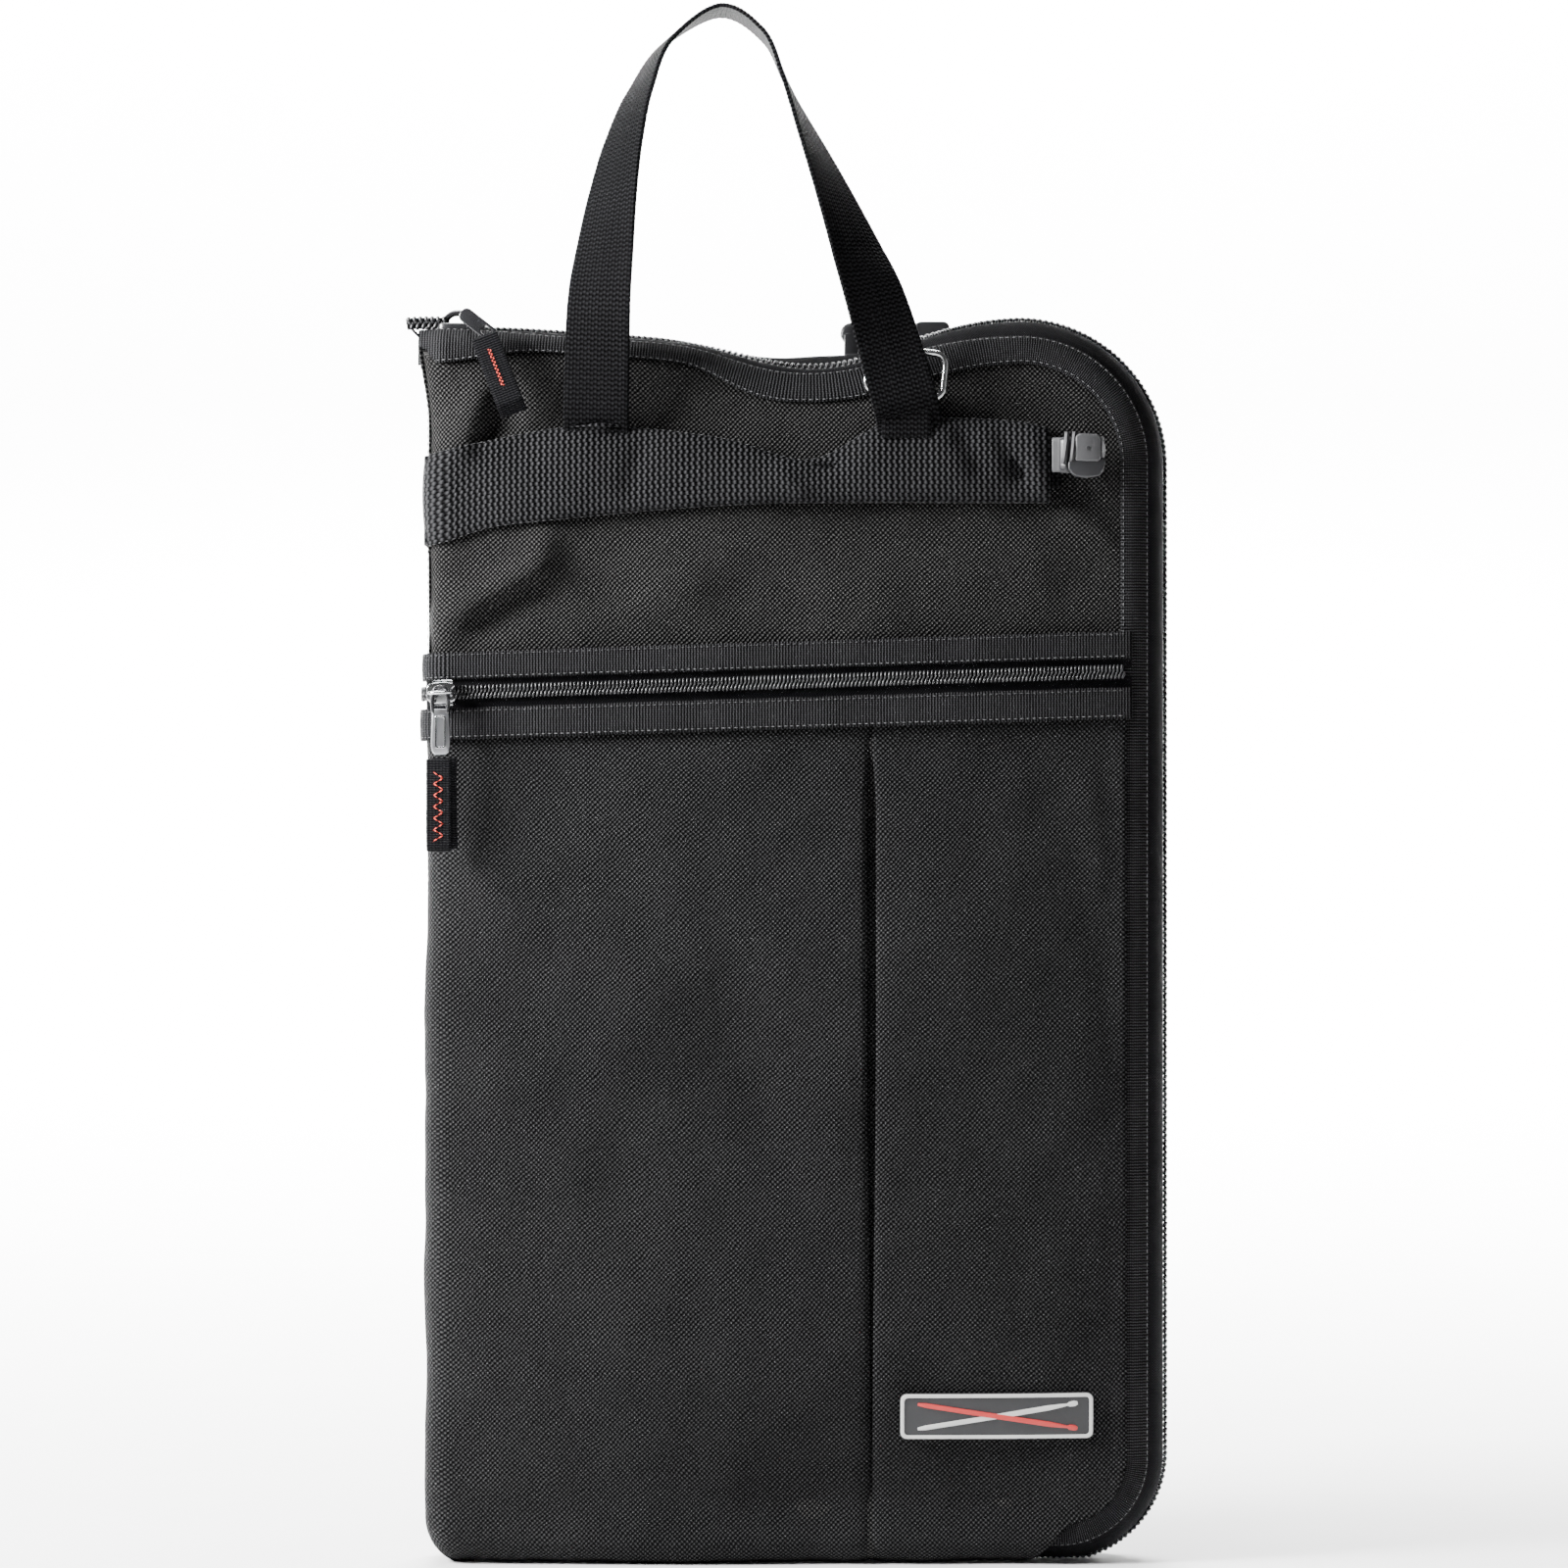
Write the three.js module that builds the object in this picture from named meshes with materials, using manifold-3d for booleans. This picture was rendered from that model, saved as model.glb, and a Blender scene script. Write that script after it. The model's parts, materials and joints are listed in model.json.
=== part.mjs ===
// Drum stick bag: a padded soft case that opens flat like a book.
// Units are millimetres. The bag stands on its bottom edge with +Z up, its front faces -Y,
// its spine is at -X and its zip chain runs over the top, down the far side and along the foot.
// The origin is on the floor under the middle of the chain.
import * as THREE from "three";
import { mergeVertices } from "three/addons/utils/BufferGeometryUtils.js";
import Module from "manifold-3d";

const wasm = await Module();
wasm.setup();

// ---- driving dimensions ------------------------------------------------------------------

const FRONT = -1;
const BACK = 1;

const SPINE_X = -143; // the spine fold
const FAR_X = 143; // outside of the chain on the far side
const TOP_Z = 478; // top edge beside the spine
const TOP_RISE = 6.5; // the far end of the top edge stands higher by this
const DIP = 13; // sag of the top edge between the handle's legs
const DIP_X = 5; // where the sag is deepest
const DIP_WIDTH = 40;
const R_TOP = 57; // far top corner
const R_FOOT = 42; // far bottom corner
const R_HEEL = 18; // bottom corner at the spine

const RIM = 17; // from the chain's middle plane to a panel's rim
const CROWN = 4; // how far a padded panel stands proud of its rim
const CLOTH = 1.2;
const FOAM = 4;
const LINING = 0.8;
const GAP = 0.4; // between layers that touch in the real bag

const COIL_DEPTH = 2.2; // big chain: how deep its coil is
const COIL_HALF = 3.3; // and how far each half reaches from the middle plane
const BINDING = 9; // ribbed tape over the panel's rim
const RIM_INSET = 13; // from the chain's outside to the panel's rim

const BAND_LOW = 406; // wide webbing sleeve across the front and the back
const BAND_HIGH = 440;
const BAND_END = 98; // its open end
const BAND_Y = 27;

const WEBBING = 25.4; // handle webbing width
const WEBBING_T = 1.6;

const POCKET_Z = 342.5; // pocket chain's height at x = 0
const POCKET_SLOPE = THREE.MathUtils.degToRad(1.8);
const POCKET_DEPTH = 5; // room that the pocket panel's bulge gives
const POCKET_FAR = 119;
const PLEAT_X = 28;

// ---- finishes ----------------------------------------------------------------------------

const CLOTH_LOOK = { color: 0x2b2a29, roughness: 0.9, metalness: 0 };
const WEB_LOOK = { color: 0x1c1c1d, roughness: 0.85, metalness: 0 };
const COIL_LOOK = { color: 0x3a3a3c, roughness: 0.35, metalness: 0.1 };
const FOAM_LOOK = { color: 0x55565a, roughness: 1, metalness: 0 };
const LINING_LOOK = { color: 0x202124, roughness: 0.8, metalness: 0 };
const PLASTIC_LOOK = { color: 0x4a4b4d, roughness: 0.5, metalness: 0 };
const CHROME_LOOK = { color: 0xc9ccd0, roughness: 0.2, metalness: 1 };
const BLACK_METAL_LOOK = { color: 0x151516, roughness: 0.35, metalness: 0.8 };
const PATCH_LOOK = { color: 0x8f2a24, roughness: 0.6, metalness: 0 };

const bag = new THREE.Group();
const pocketZip = new THREE.Group(); // frame of the pocket's chain: its X runs along the chain
pocketZip.position.z = POCKET_Z;
pocketZip.rotation.y = -POCKET_SLOPE;
bag.add(pocketZip);

// ---- solid helpers -----------------------------------------------------------------------

function addPart(name, geometry, look, parent = bag) {
  const mesh = new THREE.Mesh(geometry, new THREE.MeshStandardMaterial(look));
  mesh.name = name;
  parent.add(mesh);
  return mesh;
}

// A closed geometry from points and triangles, its faces turned outwards.
function closedGeometry(points, triangles) {
  let volume = 0;
  for (const [a, b, c] of triangles) {
    volume += points[a].dot(new THREE.Vector3().crossVectors(points[b], points[c]));
  }
  const faces = volume > 0 ? triangles : triangles.map(([a, b, c]) => [a, c, b]);
  const geometry = new THREE.BufferGeometry().setFromPoints(points);
  geometry.setIndex(faces.flat());
  return geometry;
}

// A solid through rings of points, each ring a closed section with the same number of points.
// The section in the plane, one turn of it anticlockwise, gives the two end faces.
function loft(rings, section) {
  if (THREE.ShapeUtils.isClockWise(section)) {
    return loft(rings.map((ring) => ring.slice().reverse()), section.slice().reverse());
  }
  const count = rings[0].length;
  const triangles = [];
  for (let i = 0; i + 1 < rings.length; i += 1) {
    for (let j = 0; j < count; j += 1) {
      const a = i * count + j;
      const b = i * count + ((j + 1) % count);
      triangles.push([a, b, b + count], [a, b + count, a + count]);
    }
  }
  const last = (rings.length - 1) * count;
  for (const [a, b, c] of THREE.ShapeUtils.triangulateShape(section, [])) {
    triangles.push([a, c, b], [last + a, last + b, last + c]);
  }
  return closedGeometry(rings.flat(), triangles);
}

// A sheet with thickness over a grid. at(i, j) gives x, z and the y of its two faces.
function sheet(columns, rows, at) {
  const points = [];
  for (let i = 0; i <= columns; i += 1) {
    for (let j = 0; j <= rows; j += 1) {
      const { x, z, outer, inner } = at(i, j);
      points.push(new THREE.Vector3(x, outer, z), new THREE.Vector3(x, inner, z));
    }
  }
  const index = (i, j, face) => 2 * (i * (rows + 1) + j) + face;
  const triangles = [];
  const quad = (a, b, c, d) => triangles.push([a, b, c], [a, c, d]);
  for (let i = 0; i < columns; i += 1) {
    for (let j = 0; j < rows; j += 1) {
      quad(index(i, j, 0), index(i + 1, j, 0), index(i + 1, j + 1, 0), index(i, j + 1, 0));
      quad(index(i, j, 1), index(i, j + 1, 1), index(i + 1, j + 1, 1), index(i + 1, j, 1));
    }
    quad(index(i, 0, 0), index(i, 0, 1), index(i + 1, 0, 1), index(i + 1, 0, 0));
    quad(index(i, rows, 0), index(i + 1, rows, 0), index(i + 1, rows, 1), index(i, rows, 1));
  }
  for (let j = 0; j < rows; j += 1) {
    quad(index(0, j, 0), index(0, j + 1, 0), index(0, j + 1, 1), index(0, j, 1));
    quad(index(columns, j, 0), index(columns, j, 1), index(columns, j + 1, 1), index(columns, j + 1, 0));
  }
  return closedGeometry(points, triangles);
}

function box(x0, x1, y0, y1, z0, z1) {
  const geometry = new THREE.BoxGeometry(x1 - x0, Math.abs(y1 - y0), z1 - z0);
  return geometry.translate((x0 + x1) / 2, (y0 + y1) / 2, (z0 + z1) / 2);
}

// A bar along Y from y0 to y1 whose section in X and Z is the shape.
function plate(shape, y0, y1) {
  const geometry = new THREE.ExtrudeGeometry(shape, { depth: y1 - y0, bevelEnabled: false, curveSegments: 6 });
  return geometry.rotateX(Math.PI / 2).translate(0, y1, 0);
}

// A rod of round section along one axis.
function rod(radius, length, axis, x, y, z) {
  const geometry = new THREE.CylinderGeometry(radius, radius, length, 12);
  if (axis === "x") geometry.rotateZ(Math.PI / 2);
  if (axis === "z") geometry.rotateX(Math.PI / 2);
  return geometry.translate(x, y, z);
}

function roundedRectangle(x0, x1, z0, z1, r) {
  const shape = new THREE.Shape();
  shape.moveTo(x0 + r, z0);
  shape.lineTo(x1 - r, z0);
  shape.absarc(x1 - r, z0 + r, r, -Math.PI / 2, 0);
  shape.lineTo(x1, z1 - r);
  shape.absarc(x1 - r, z1 - r, r, 0, Math.PI / 2);
  shape.lineTo(x0 + r, z1);
  shape.absarc(x0 + r, z1 - r, r, Math.PI / 2, Math.PI);
  shape.lineTo(x0, z0 + r);
  shape.absarc(x0 + r, z0 + r, r, Math.PI, 1.5 * Math.PI);
  return shape;
}

function toSolid(geometry) {
  const bare = geometry.clone();
  bare.deleteAttribute("normal");
  bare.deleteAttribute("uv");
  const merged = mergeVertices(bare, 1e-4);
  return new wasm.Manifold(
    new wasm.Mesh({
      numProp: 3,
      vertProperties: new Float32Array(merged.attributes.position.array),
      triVerts: new Uint32Array(merged.index.array),
    }),
  );
}

function fromSolid(solid) {
  const { vertProperties, triVerts } = solid.getMesh();
  const geometry = new THREE.BufferGeometry();
  geometry.setAttribute("position", new THREE.BufferAttribute(vertProperties, 3));
  geometry.setIndex(new THREE.BufferAttribute(triVerts, 1));
  return geometry;
}

function join(...geometries) {
  return fromSolid(geometries.map(toSolid).reduce((whole, piece) => whole.add(piece)));
}

function cut(geometry, ...tools) {
  return fromSolid(tools.map(toSolid).reduce((whole, tool) => whole.subtract(tool), toSolid(geometry)));
}

// ---- outline of the bag ------------------------------------------------------------------

function topEdge(x) {
  const rise = TOP_RISE * THREE.MathUtils.smoothstep(x, 15, FAR_X - R_TOP);
  return TOP_Z + rise - DIP * Math.exp(-(((x - DIP_X) / DIP_WIDTH) ** 2));
}

const TOP_CORNER = { x: FAR_X - R_TOP, z: topEdge(FAR_X - R_TOP) - R_TOP };
const FOOT_CORNER = { x: FAR_X - R_FOOT, z: R_FOOT };
const CHAIN_START = SPINE_X + 5;

// The chain's outside line from the spine's top round to its heel, each point with its outward normal.
function seamPath() {
  const path = [];
  const arc = (corner, radius, from, to, steps) => {
    for (let i = 1; i <= steps; i += 1) {
      const angle = THREE.MathUtils.degToRad(from + ((to - from) * i) / steps);
      const normal = { x: Math.cos(angle), z: Math.sin(angle) };
      path.push({ x: corner.x + radius * normal.x, z: corner.z + radius * normal.z, normal });
    }
  };
  const straight = (from, to, normal, steps) => {
    for (let i = 1; i <= steps; i += 1) {
      const t = i / steps;
      path.push({ x: from.x + (to.x - from.x) * t, z: from.z + (to.z - from.z) * t, normal });
    }
  };
  const topSteps = 12;
  for (let i = 0; i <= topSteps; i += 1) {
    const x = CHAIN_START + ((TOP_CORNER.x - CHAIN_START) * i) / topSteps;
    const slope = topEdge(x + 0.5) - topEdge(x - 0.5);
    const size = Math.hypot(slope, 1);
    path.push({ x, z: topEdge(x), normal: { x: -slope / size, z: 1 / size } });
  }
  arc(TOP_CORNER, R_TOP, 90, 0, 6);
  straight({ x: FAR_X, z: TOP_CORNER.z }, { x: FAR_X, z: R_FOOT }, { x: 1, z: 0 }, 2);
  arc(FOOT_CORNER, R_FOOT, 0, -90, 5);
  straight({ x: FOOT_CORNER.x, z: 0 }, { x: SPINE_X + R_HEEL, z: 0 }, { x: 0, z: -1 }, 2);
  return path;
}

const SEAM = seamPath();

// A strip along the seam. Each section point is [distance outwards, y] on the front side.
function seamStrip(section, side) {
  const outline = section.map(([r, y]) => new THREE.Vector2(r, y));
  const rings = SEAM.map(({ x, z, normal }) =>
    section.map(([r, y]) => new THREE.Vector3(x + normal.x * r, -side * y, z + normal.z * r)),
  );
  return loft(rings, outline);
}

// 1 over the middle of a panel, falling to 0 at its edges.
function swell(t) {
  const past = THREE.MathUtils.clamp((Math.abs(t) - 0.3) / 0.7, 0, 1);
  return 1 - past ** 3;
}

function panelSwell(x, z) {
  return swell((x + 6) / 137) * swell((z - 242) / 215);
}

// How far a point of the padded panel's outside is from the middle plane.
function panelOutside(x, z) {
  return RIM + CROWN * panelSwell(x, z);
}

// One layer of a padded panel, between two depths measured inwards from its outside.
function panelLayer(side, inset, spineInset, depth, thickness) {
  const columns = 12;
  const rows = 8;
  const left = SPINE_X + spineInset;
  const right = FAR_X - inset;
  const reach = (radius, dx) => Math.sqrt(Math.max((radius - inset) ** 2 - dx ** 2, 0));
  return sheet(columns, rows, (i, j) => {
    const x = left + (right - left) * Math.sin((Math.PI / 2) * (i / columns));
    const high = x < TOP_CORNER.x ? topEdge(x) - inset : TOP_CORNER.z + reach(R_TOP, x - TOP_CORNER.x);
    const low = x < FOOT_CORNER.x ? inset : FOOT_CORNER.z - reach(R_FOOT, x - FOOT_CORNER.x);
    const z = low + ((high - low) * j) / rows;
    const outside = panelOutside(x, z) - depth;
    return { x, z, outer: side * outside, inner: side * (outside - thickness) };
  });
}

// ---- padded panels and their seam --------------------------------------------------------

// Open-topped fabric sleeves for sticks, sewn to the lining.
function stickPocket(side, count, height) {
  const left = -122;
  const right = 112;
  const floor = 32;
  const wall = 1;
  const near = 1.2; // distance of the sleeve's face from the middle plane
  const deep = 9.8; // and of its back edges, at the lining
  const slab = (x0, x1, y0, y1, z0, z1) =>
    box(x0, x1, Math.min(side * y0, side * y1), Math.max(side * y0, side * y1), z0, z1);
  const pieces = [
    slab(left, right, near, near + wall, floor, height),
    slab(left, right, near, deep, floor, floor + wall),
  ];
  for (let i = 0; i <= count; i += 1) {
    const x = left + ((right - left - wall) * i) / count;
    pieces.push(slab(x, x + wall, near, deep, floor, height));
  }
  return join(...pieces);
}

function paddedHalf(word, side, pockets, pocketTop) {
  const inside = CLOTH + GAP;
  addPart(`${word}_outer_panel`, panelLayer(side, RIM_INSET + 1.6, 0.3, 0, CLOTH), CLOTH_LOOK);
  addPart(`${word}_foam_pad`, panelLayer(side, RIM_INSET + 3, 3, inside, FOAM), FOAM_LOOK);
  addPart(`${word}_lining`, panelLayer(side, RIM_INSET + 3, 3, inside + FOAM + GAP, LINING), LINING_LOOK);
  addPart(`${word}_stick_pockets`, stickPocket(side, pockets, pocketTop), LINING_LOOK);

  // the chain's tape, turned round the bag's edge to meet the panel's rim
  const tape = [
    [-RIM_INSET + 0.3, -17.6],
    [-5, -15],
    [-1, -11],
    [0, -8],
    [0, -3.6],
    [-CLOTH, -3.6],
    [-CLOTH, -8],
    [-2, -10.6],
    [-5.8, -13.9],
    [-RIM_INSET + 0.3, -16.3],
  ];
  addPart(`${word}_zip_tape`, seamStrip(tape, side), WEB_LOOK);

  const coil = [
    [0, -COIL_HALF],
    [0, -0.15],
    [-COIL_DEPTH, -0.15],
    [-COIL_DEPTH, -COIL_HALF],
  ];
  addPart(`${word}_zip_coil`, seamStrip(coil, side), COIL_LOOK);

  const under = RIM + 1.6;
  const binding = [
    [-RIM_INSET, -under],
    [-RIM_INSET, -under - CLOTH],
    [-RIM_INSET - BINDING, -under - CLOTH],
    [-RIM_INSET - BINDING, -under],
  ];
  addPart(`${word}_edge_binding`, seamStrip(binding, side), WEB_LOOK);
}

paddedHalf("back", BACK, 3, 262);
paddedHalf("front", FRONT, 2, 300);

// ---- spine -------------------------------------------------------------------------------

const SPINE_HALF = RIM - 1.4;
addPart("spine_gusset", box(SPINE_X, SPINE_X + CLOTH, -SPINE_HALF, SPINE_HALF, 20, TOP_Z - 4), CLOTH_LOOK);
addPart(
  "spine_lining",
  box(SPINE_X + CLOTH + GAP, SPINE_X + CLOTH + GAP + LINING, -SPINE_HALF + 3, SPINE_HALF - 3, 22, TOP_Z - 6),
  LINING_LOOK,
);
addPart("spine_band", box(SPINE_X - 2, SPINE_X - 0.4, -SPINE_HALF, SPINE_HALF, BAND_LOW - 6, BAND_HIGH - 6), WEB_LOOK);

// the chain's ends, folded back into a loop past the spine
function zipTail() {
  const outer = plate(roundedRectangle(SPINE_X - 12, SPINE_X - 0.6, TOP_Z - 7, TOP_Z + 1, 3), -6, 6);
  const hollow = plate(roundedRectangle(SPINE_X - 10.4, SPINE_X - 3, TOP_Z - 5.8, TOP_Z - 0.2, 1.8), -7, 7);
  return cut(outer, hollow);
}
addPart("zip_tail", zipTail(), COIL_LOOK);

// ---- webbing sleeve across each side -----------------------------------------------------

// A flat tube of webbing: closed at the spine, open at its far end, where the hook comes out.
function sleeve(side) {
  const near = 20.4;
  const y = (a, b) => [Math.min(side * a, side * b), Math.max(side * a, side * b)];
  const outer = box(SPINE_X + 2, BAND_END, ...y(near, BAND_Y), BAND_LOW, BAND_HIGH);
  const hollow = box(SPINE_X + 20, BAND_END + 1, ...y(near + CLOTH, BAND_Y - 1.6), BAND_LOW + 1.6, BAND_HIGH - 1.6);
  return cut(outer, hollow);
}
addPart("front_sleeve", sleeve(FRONT), WEB_LOOK);
addPart("back_sleeve", sleeve(BACK), WEB_LOOK);

// ---- handles -----------------------------------------------------------------------------

// Stations of the front handle from the spine-side foot over the crown to the far foot:
// x, y, z and how far the webbing has turned from facing forward to facing outward, in degrees.
const HANDLE_STATIONS = [
  [-78.3, -29.6, 442, 0],
  [-78, -31, 462, 3],
  [-76.9, -31, 488, 14],
  [-74.5, -25, 513, 30],
  [-72, -18.5, 533, 42],
  [-68.4, -11, 553, 53],
  [-62.3, -3.5, 574, 66],
  [-52, 5, 594, 80],
  [-31, 12, 608, 90],
  [-14, 10, 598, 90],
  [-4.6, 3.5, 578, 86],
  [5.9, -6, 553, 70],
  [13.9, -14, 533, 57],
  [21.7, -22, 512, 42],
  [29.5, -28.5, 490, 24],
  [37.5, -31, 464, 6],
  [43, -29.6, 442, 0],
];
const HANDLE_FOOT_Z = 442;

// A strap through stations, its face turning from -Y towards the outside of the arch.
function strap(stations, width, thickness, steps) {
  const line = new THREE.CatmullRomCurve3(stations.map(([x, y, z]) => new THREE.Vector3(x, y, z)));
  const turn = new THREE.CatmullRomCurve3(stations.map((s) => new THREE.Vector3(s[3], 0, 0)));
  const across = [-1, -0.5, 0, 0.5, 1];
  const inner = across.map((w) => new THREE.Vector2(w, -1));
  const outline = [...inner, ...inner.toReversed().map((p) => new THREE.Vector2(p.x, 1))];
  const rings = [];
  for (let i = 0; i <= steps; i += 1) {
    const t = i / steps;
    const point = line.getPoint(t);
    const along = line.getTangent(t);
    const angle = THREE.MathUtils.degToRad(turn.getPoint(t).x);
    const face = new THREE.Vector3(-along.z * Math.sin(angle), -Math.cos(angle), along.x * Math.sin(angle));
    face.addScaledVector(along, -face.dot(along)).normalize();
    const side = new THREE.Vector3().crossVectors(along, face);
    const corner = (w, f) =>
      point.clone().addScaledVector(side, (w * width) / 2).addScaledVector(face, (f * thickness) / 2);
    rings.push(outline.map((p) => corner(p.x, p.y)));
  }
  return loft(rings, outline);
}
addPart("front_handle_strap", strap(HANDLE_STATIONS, WEBBING, WEBBING_T, 32), WEB_LOOK);

// The back handle hangs down behind the bag: the same loop turned over, standing off as it turns.
const HANGING_STATIONS = HANDLE_STATIONS.map(([x, , z, turn]) => [
  x,
  -(31 + 11 * Math.sin(THREE.MathUtils.degToRad(turn)) ** 2),
  2 * HANDLE_FOOT_Z - z,
  -turn,
]);
const backHandle = strap(HANGING_STATIONS, WEBBING, WEBBING_T, 32);
backHandle.scale(1, -1, 1);
backHandle.setIndex([...backHandle.index.array].reverse());
addPart("back_handle_strap", backHandle, WEB_LOOK);

// ---- metal ring beside the front handle ---------------------------------------------------

const RING = { x0: 25, x1: 58, z0: 451.5, z1: 472, y: -23.3, wire: 1.5 };

function ringShape() {
  const { x0, x1, z0, z1, y, wire } = RING;
  const outer = plate(roundedRectangle(x0, x1, z0, z1, 4), y - wire, y + wire);
  const hole = roundedRectangle(x0 + 2 * wire, x1 - 2 * wire, z0 + 2 * wire, z1 - 2 * wire, 2);
  return cut(outer, plate(hole, y - 2 * wire, y + 2 * wire));
}
addPart("front_ring", ringShape(), CHROME_LOOK);

function ringLoop() {
  const bar = RING.z0 + RING.wire;
  const body = box(32, 51, RING.y - 3.1, RING.y + 2.9, BAND_HIGH + 0.6, bar + 4.2);
  const slot = box(20, 60, RING.y - 2.1, RING.y + 2.1, bar - 2, bar + 2);
  return cut(body, slot);
}
addPart("ring_loop", ringLoop(), WEB_LOOK);

// ---- hooks that hang the open bag on a drum ------------------------------------------------

// A hook bent in plan: a slotted root, a back wall and a finger, with an open throat between.
function hookShape(x0, z0, z1, wallY, side) {
  const reach = 19;
  const throat = 5;
  const wall = 2;
  const y = (a, b) => [Math.min(side * a, side * b), Math.max(side * a, side * b)];
  const back = box(x0, x0 + reach, ...y(wallY, wallY + wall), z0, z1);
  const bend = box(x0 + 3, x0 + 3 + wall, ...y(wallY, wallY + throat + 2 * wall), z0, z1);
  const finger = box(x0 + 3, x0 + reach, ...y(wallY + wall + throat, wallY + throat + 2 * wall), z0, z1);
  return join(back, bend, finger);
}
const STRAP_Y = 23.5;
addPart("front_hook_clip", hookShape(BAND_END + 1, 420, 438, STRAP_Y - 1, FRONT), PLASTIC_LOOK);
addPart(
  "front_hook_strap",
  box(BAND_END - 112, BAND_END + 0.6, -STRAP_Y - 0.8, -STRAP_Y + 0.8, 417, 433),
  WEB_LOOK,
);

// The back hook stands up over the top edge on a short tab.
function backHook() {
  const y0 = 22.4;
  const stem = box(17, 60, y0, y0 + 2.4, 462, 474);
  const knob = rod(4.2, 6, "x", 21, y0 + 4, 482);
  const neck = box(18, 24, y0, y0 + 4, 473, 482);
  const wing = box(46, 60, y0, y0 + 2.4, 473, 486);
  const lip = box(46, 60, y0, y0 + 8, 483.6, 486);
  return join(stem, knob, neck, wing, lip);
}
addPart("back_hook_clip", backHook(), PLASTIC_LOOK);
addPart("back_hook_tab", box(28, 50, 21.4, 23.8, BAND_HIGH + 0.6, 461.5), WEB_LOOK);

// ---- main zip slider ------------------------------------------------------------------------

const SLIDER = { x0: -140, x1: -123, half: 4.6, z: TOP_Z + 0.4, pivotX: -128, pivotZ: TOP_Z + 5.6 };
const PULL_Y = -23.7; // the pull lies in front of the edge binding

function mainSlider() {
  const top = box(SLIDER.x0, SLIDER.x1, -SLIDER.half, SLIDER.half, SLIDER.z, SLIDER.z + 1.8);
  const bridge = roundedRectangle(SLIDER.x0 + 2, SLIDER.x1 - 1, SLIDER.z + 0.6, SLIDER.z + 9.2, 4);
  const window = roundedRectangle(SLIDER.pivotX - 2.6, SLIDER.pivotX + 2.6, SLIDER.pivotZ - 2.6, SLIDER.pivotZ + 2.6, 2);
  return cut(join(top, plate(bridge, -1.6, 1.6)), plate(window, -3, 3));
}
addPart("main_slider", mainSlider(), BLACK_METAL_LOOK);

// A pull that hangs from a pin along Y: the pin, then a plate that runs along a slope.
const PULL_SLOPE = THREE.MathUtils.degToRad(-60);

function alongPull(geometry) {
  return geometry.rotateY(-PULL_SLOPE).translate(SLIDER.pivotX, 0, SLIDER.pivotZ);
}

function mainPull() {
  const pin = rod(1.3, 28, "y", SLIDER.pivotX, PULL_Y + 12.8, SLIDER.pivotZ);
  const link = alongPull(plate(roundedRectangle(-3, 11, -3, 3, 2.5), PULL_Y - 1, PULL_Y + 1));
  return join(pin, link);
}
addPart("main_pull", mainPull(), BLACK_METAL_LOOK);
addPart("main_pull_tab", alongPull(box(11.4, 41, PULL_Y - 1.2, PULL_Y + 1.2, -5.3, 5.3)), WEB_LOOK);

// ---- front pocket -----------------------------------------------------------------------------

// Places along the pocket's chain, in its own tilted frame, where z = 0 is the chain's middle.
const ZIP_LEFT = SPINE_X + 3;
const SMALL_COIL = 2.9;

function chainZ(x) {
  return POCKET_Z + x * Math.tan(POCKET_SLOPE);
}

function pocketStrip(name, far, y0, y1, z0, z1, look) {
  addPart(name, box(ZIP_LEFT, far, y0, y1, z0, z1), look, pocketZip);
}
pocketStrip("pocket_upper_binding", POCKET_FAR, -24, -22.8, 5.5, 15.5, WEB_LOOK);
pocketStrip("pocket_upper_tape", POCKET_FAR, -23.3, -22.5, SMALL_COIL + 0.3, 5.1, WEB_LOOK);
pocketStrip("pocket_upper_coil", POCKET_FAR, -24.4, -22.3, 0.15, SMALL_COIL, COIL_LOOK);
pocketStrip("pocket_lower_coil", POCKET_FAR, -24.4, -22.3, -SMALL_COIL, -0.15, COIL_LOOK);
pocketStrip("pocket_lower_tape", POCKET_FAR, -23.3, -22.5, -5.8, -SMALL_COIL - 0.3, WEB_LOOK);
pocketStrip("pocket_lower_binding", POCKET_FAR, -24.4, -23.2, -18, -6.2, WEB_LOOK);

const POCKET_LOW = 24;
const POCKET_BULGE_TOP = 319;

// The pocket panel's outside, with a pleat let into it.
function pocketOutside(x, z) {
  const middle = (POCKET_LOW + POCKET_BULGE_TOP) / 2;
  const bulge = swell((x + 11) / 131) * swell((z - middle) / (POCKET_BULGE_TOP - middle));
  const pleat = Math.abs(x - PLEAT_X) < 1 ? 1 : 0;
  return panelOutside(x, z) + 2 * GAP + CLOTH + POCKET_DEPTH * bulge - pleat * bulge;
}

function pocketPanel() {
  const stations = [-141, -128, -108, -84, -56, -28, 0, 24, PLEAT_X, 32, 56, 80, 100, 112, POCKET_FAR];
  const rows = 9;
  return sheet(stations.length - 1, rows, (i, j) => {
    const x = stations[i];
    const corner = Math.max(x - FOOT_CORNER.x, 0);
    const low = corner > 0 ? R_FOOT + 2 - Math.sqrt(20 ** 2 - corner ** 2) : POCKET_LOW;
    const z = j === rows ? chainZ(x) - 7 : low + ((POCKET_BULGE_TOP - low) * j) / (rows - 1);
    const outside = pocketOutside(x, z);
    return { x, z, outer: -outside, inner: -(outside - CLOTH) };
  });
}
addPart("pocket_panel", pocketPanel(), CLOTH_LOOK);

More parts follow.
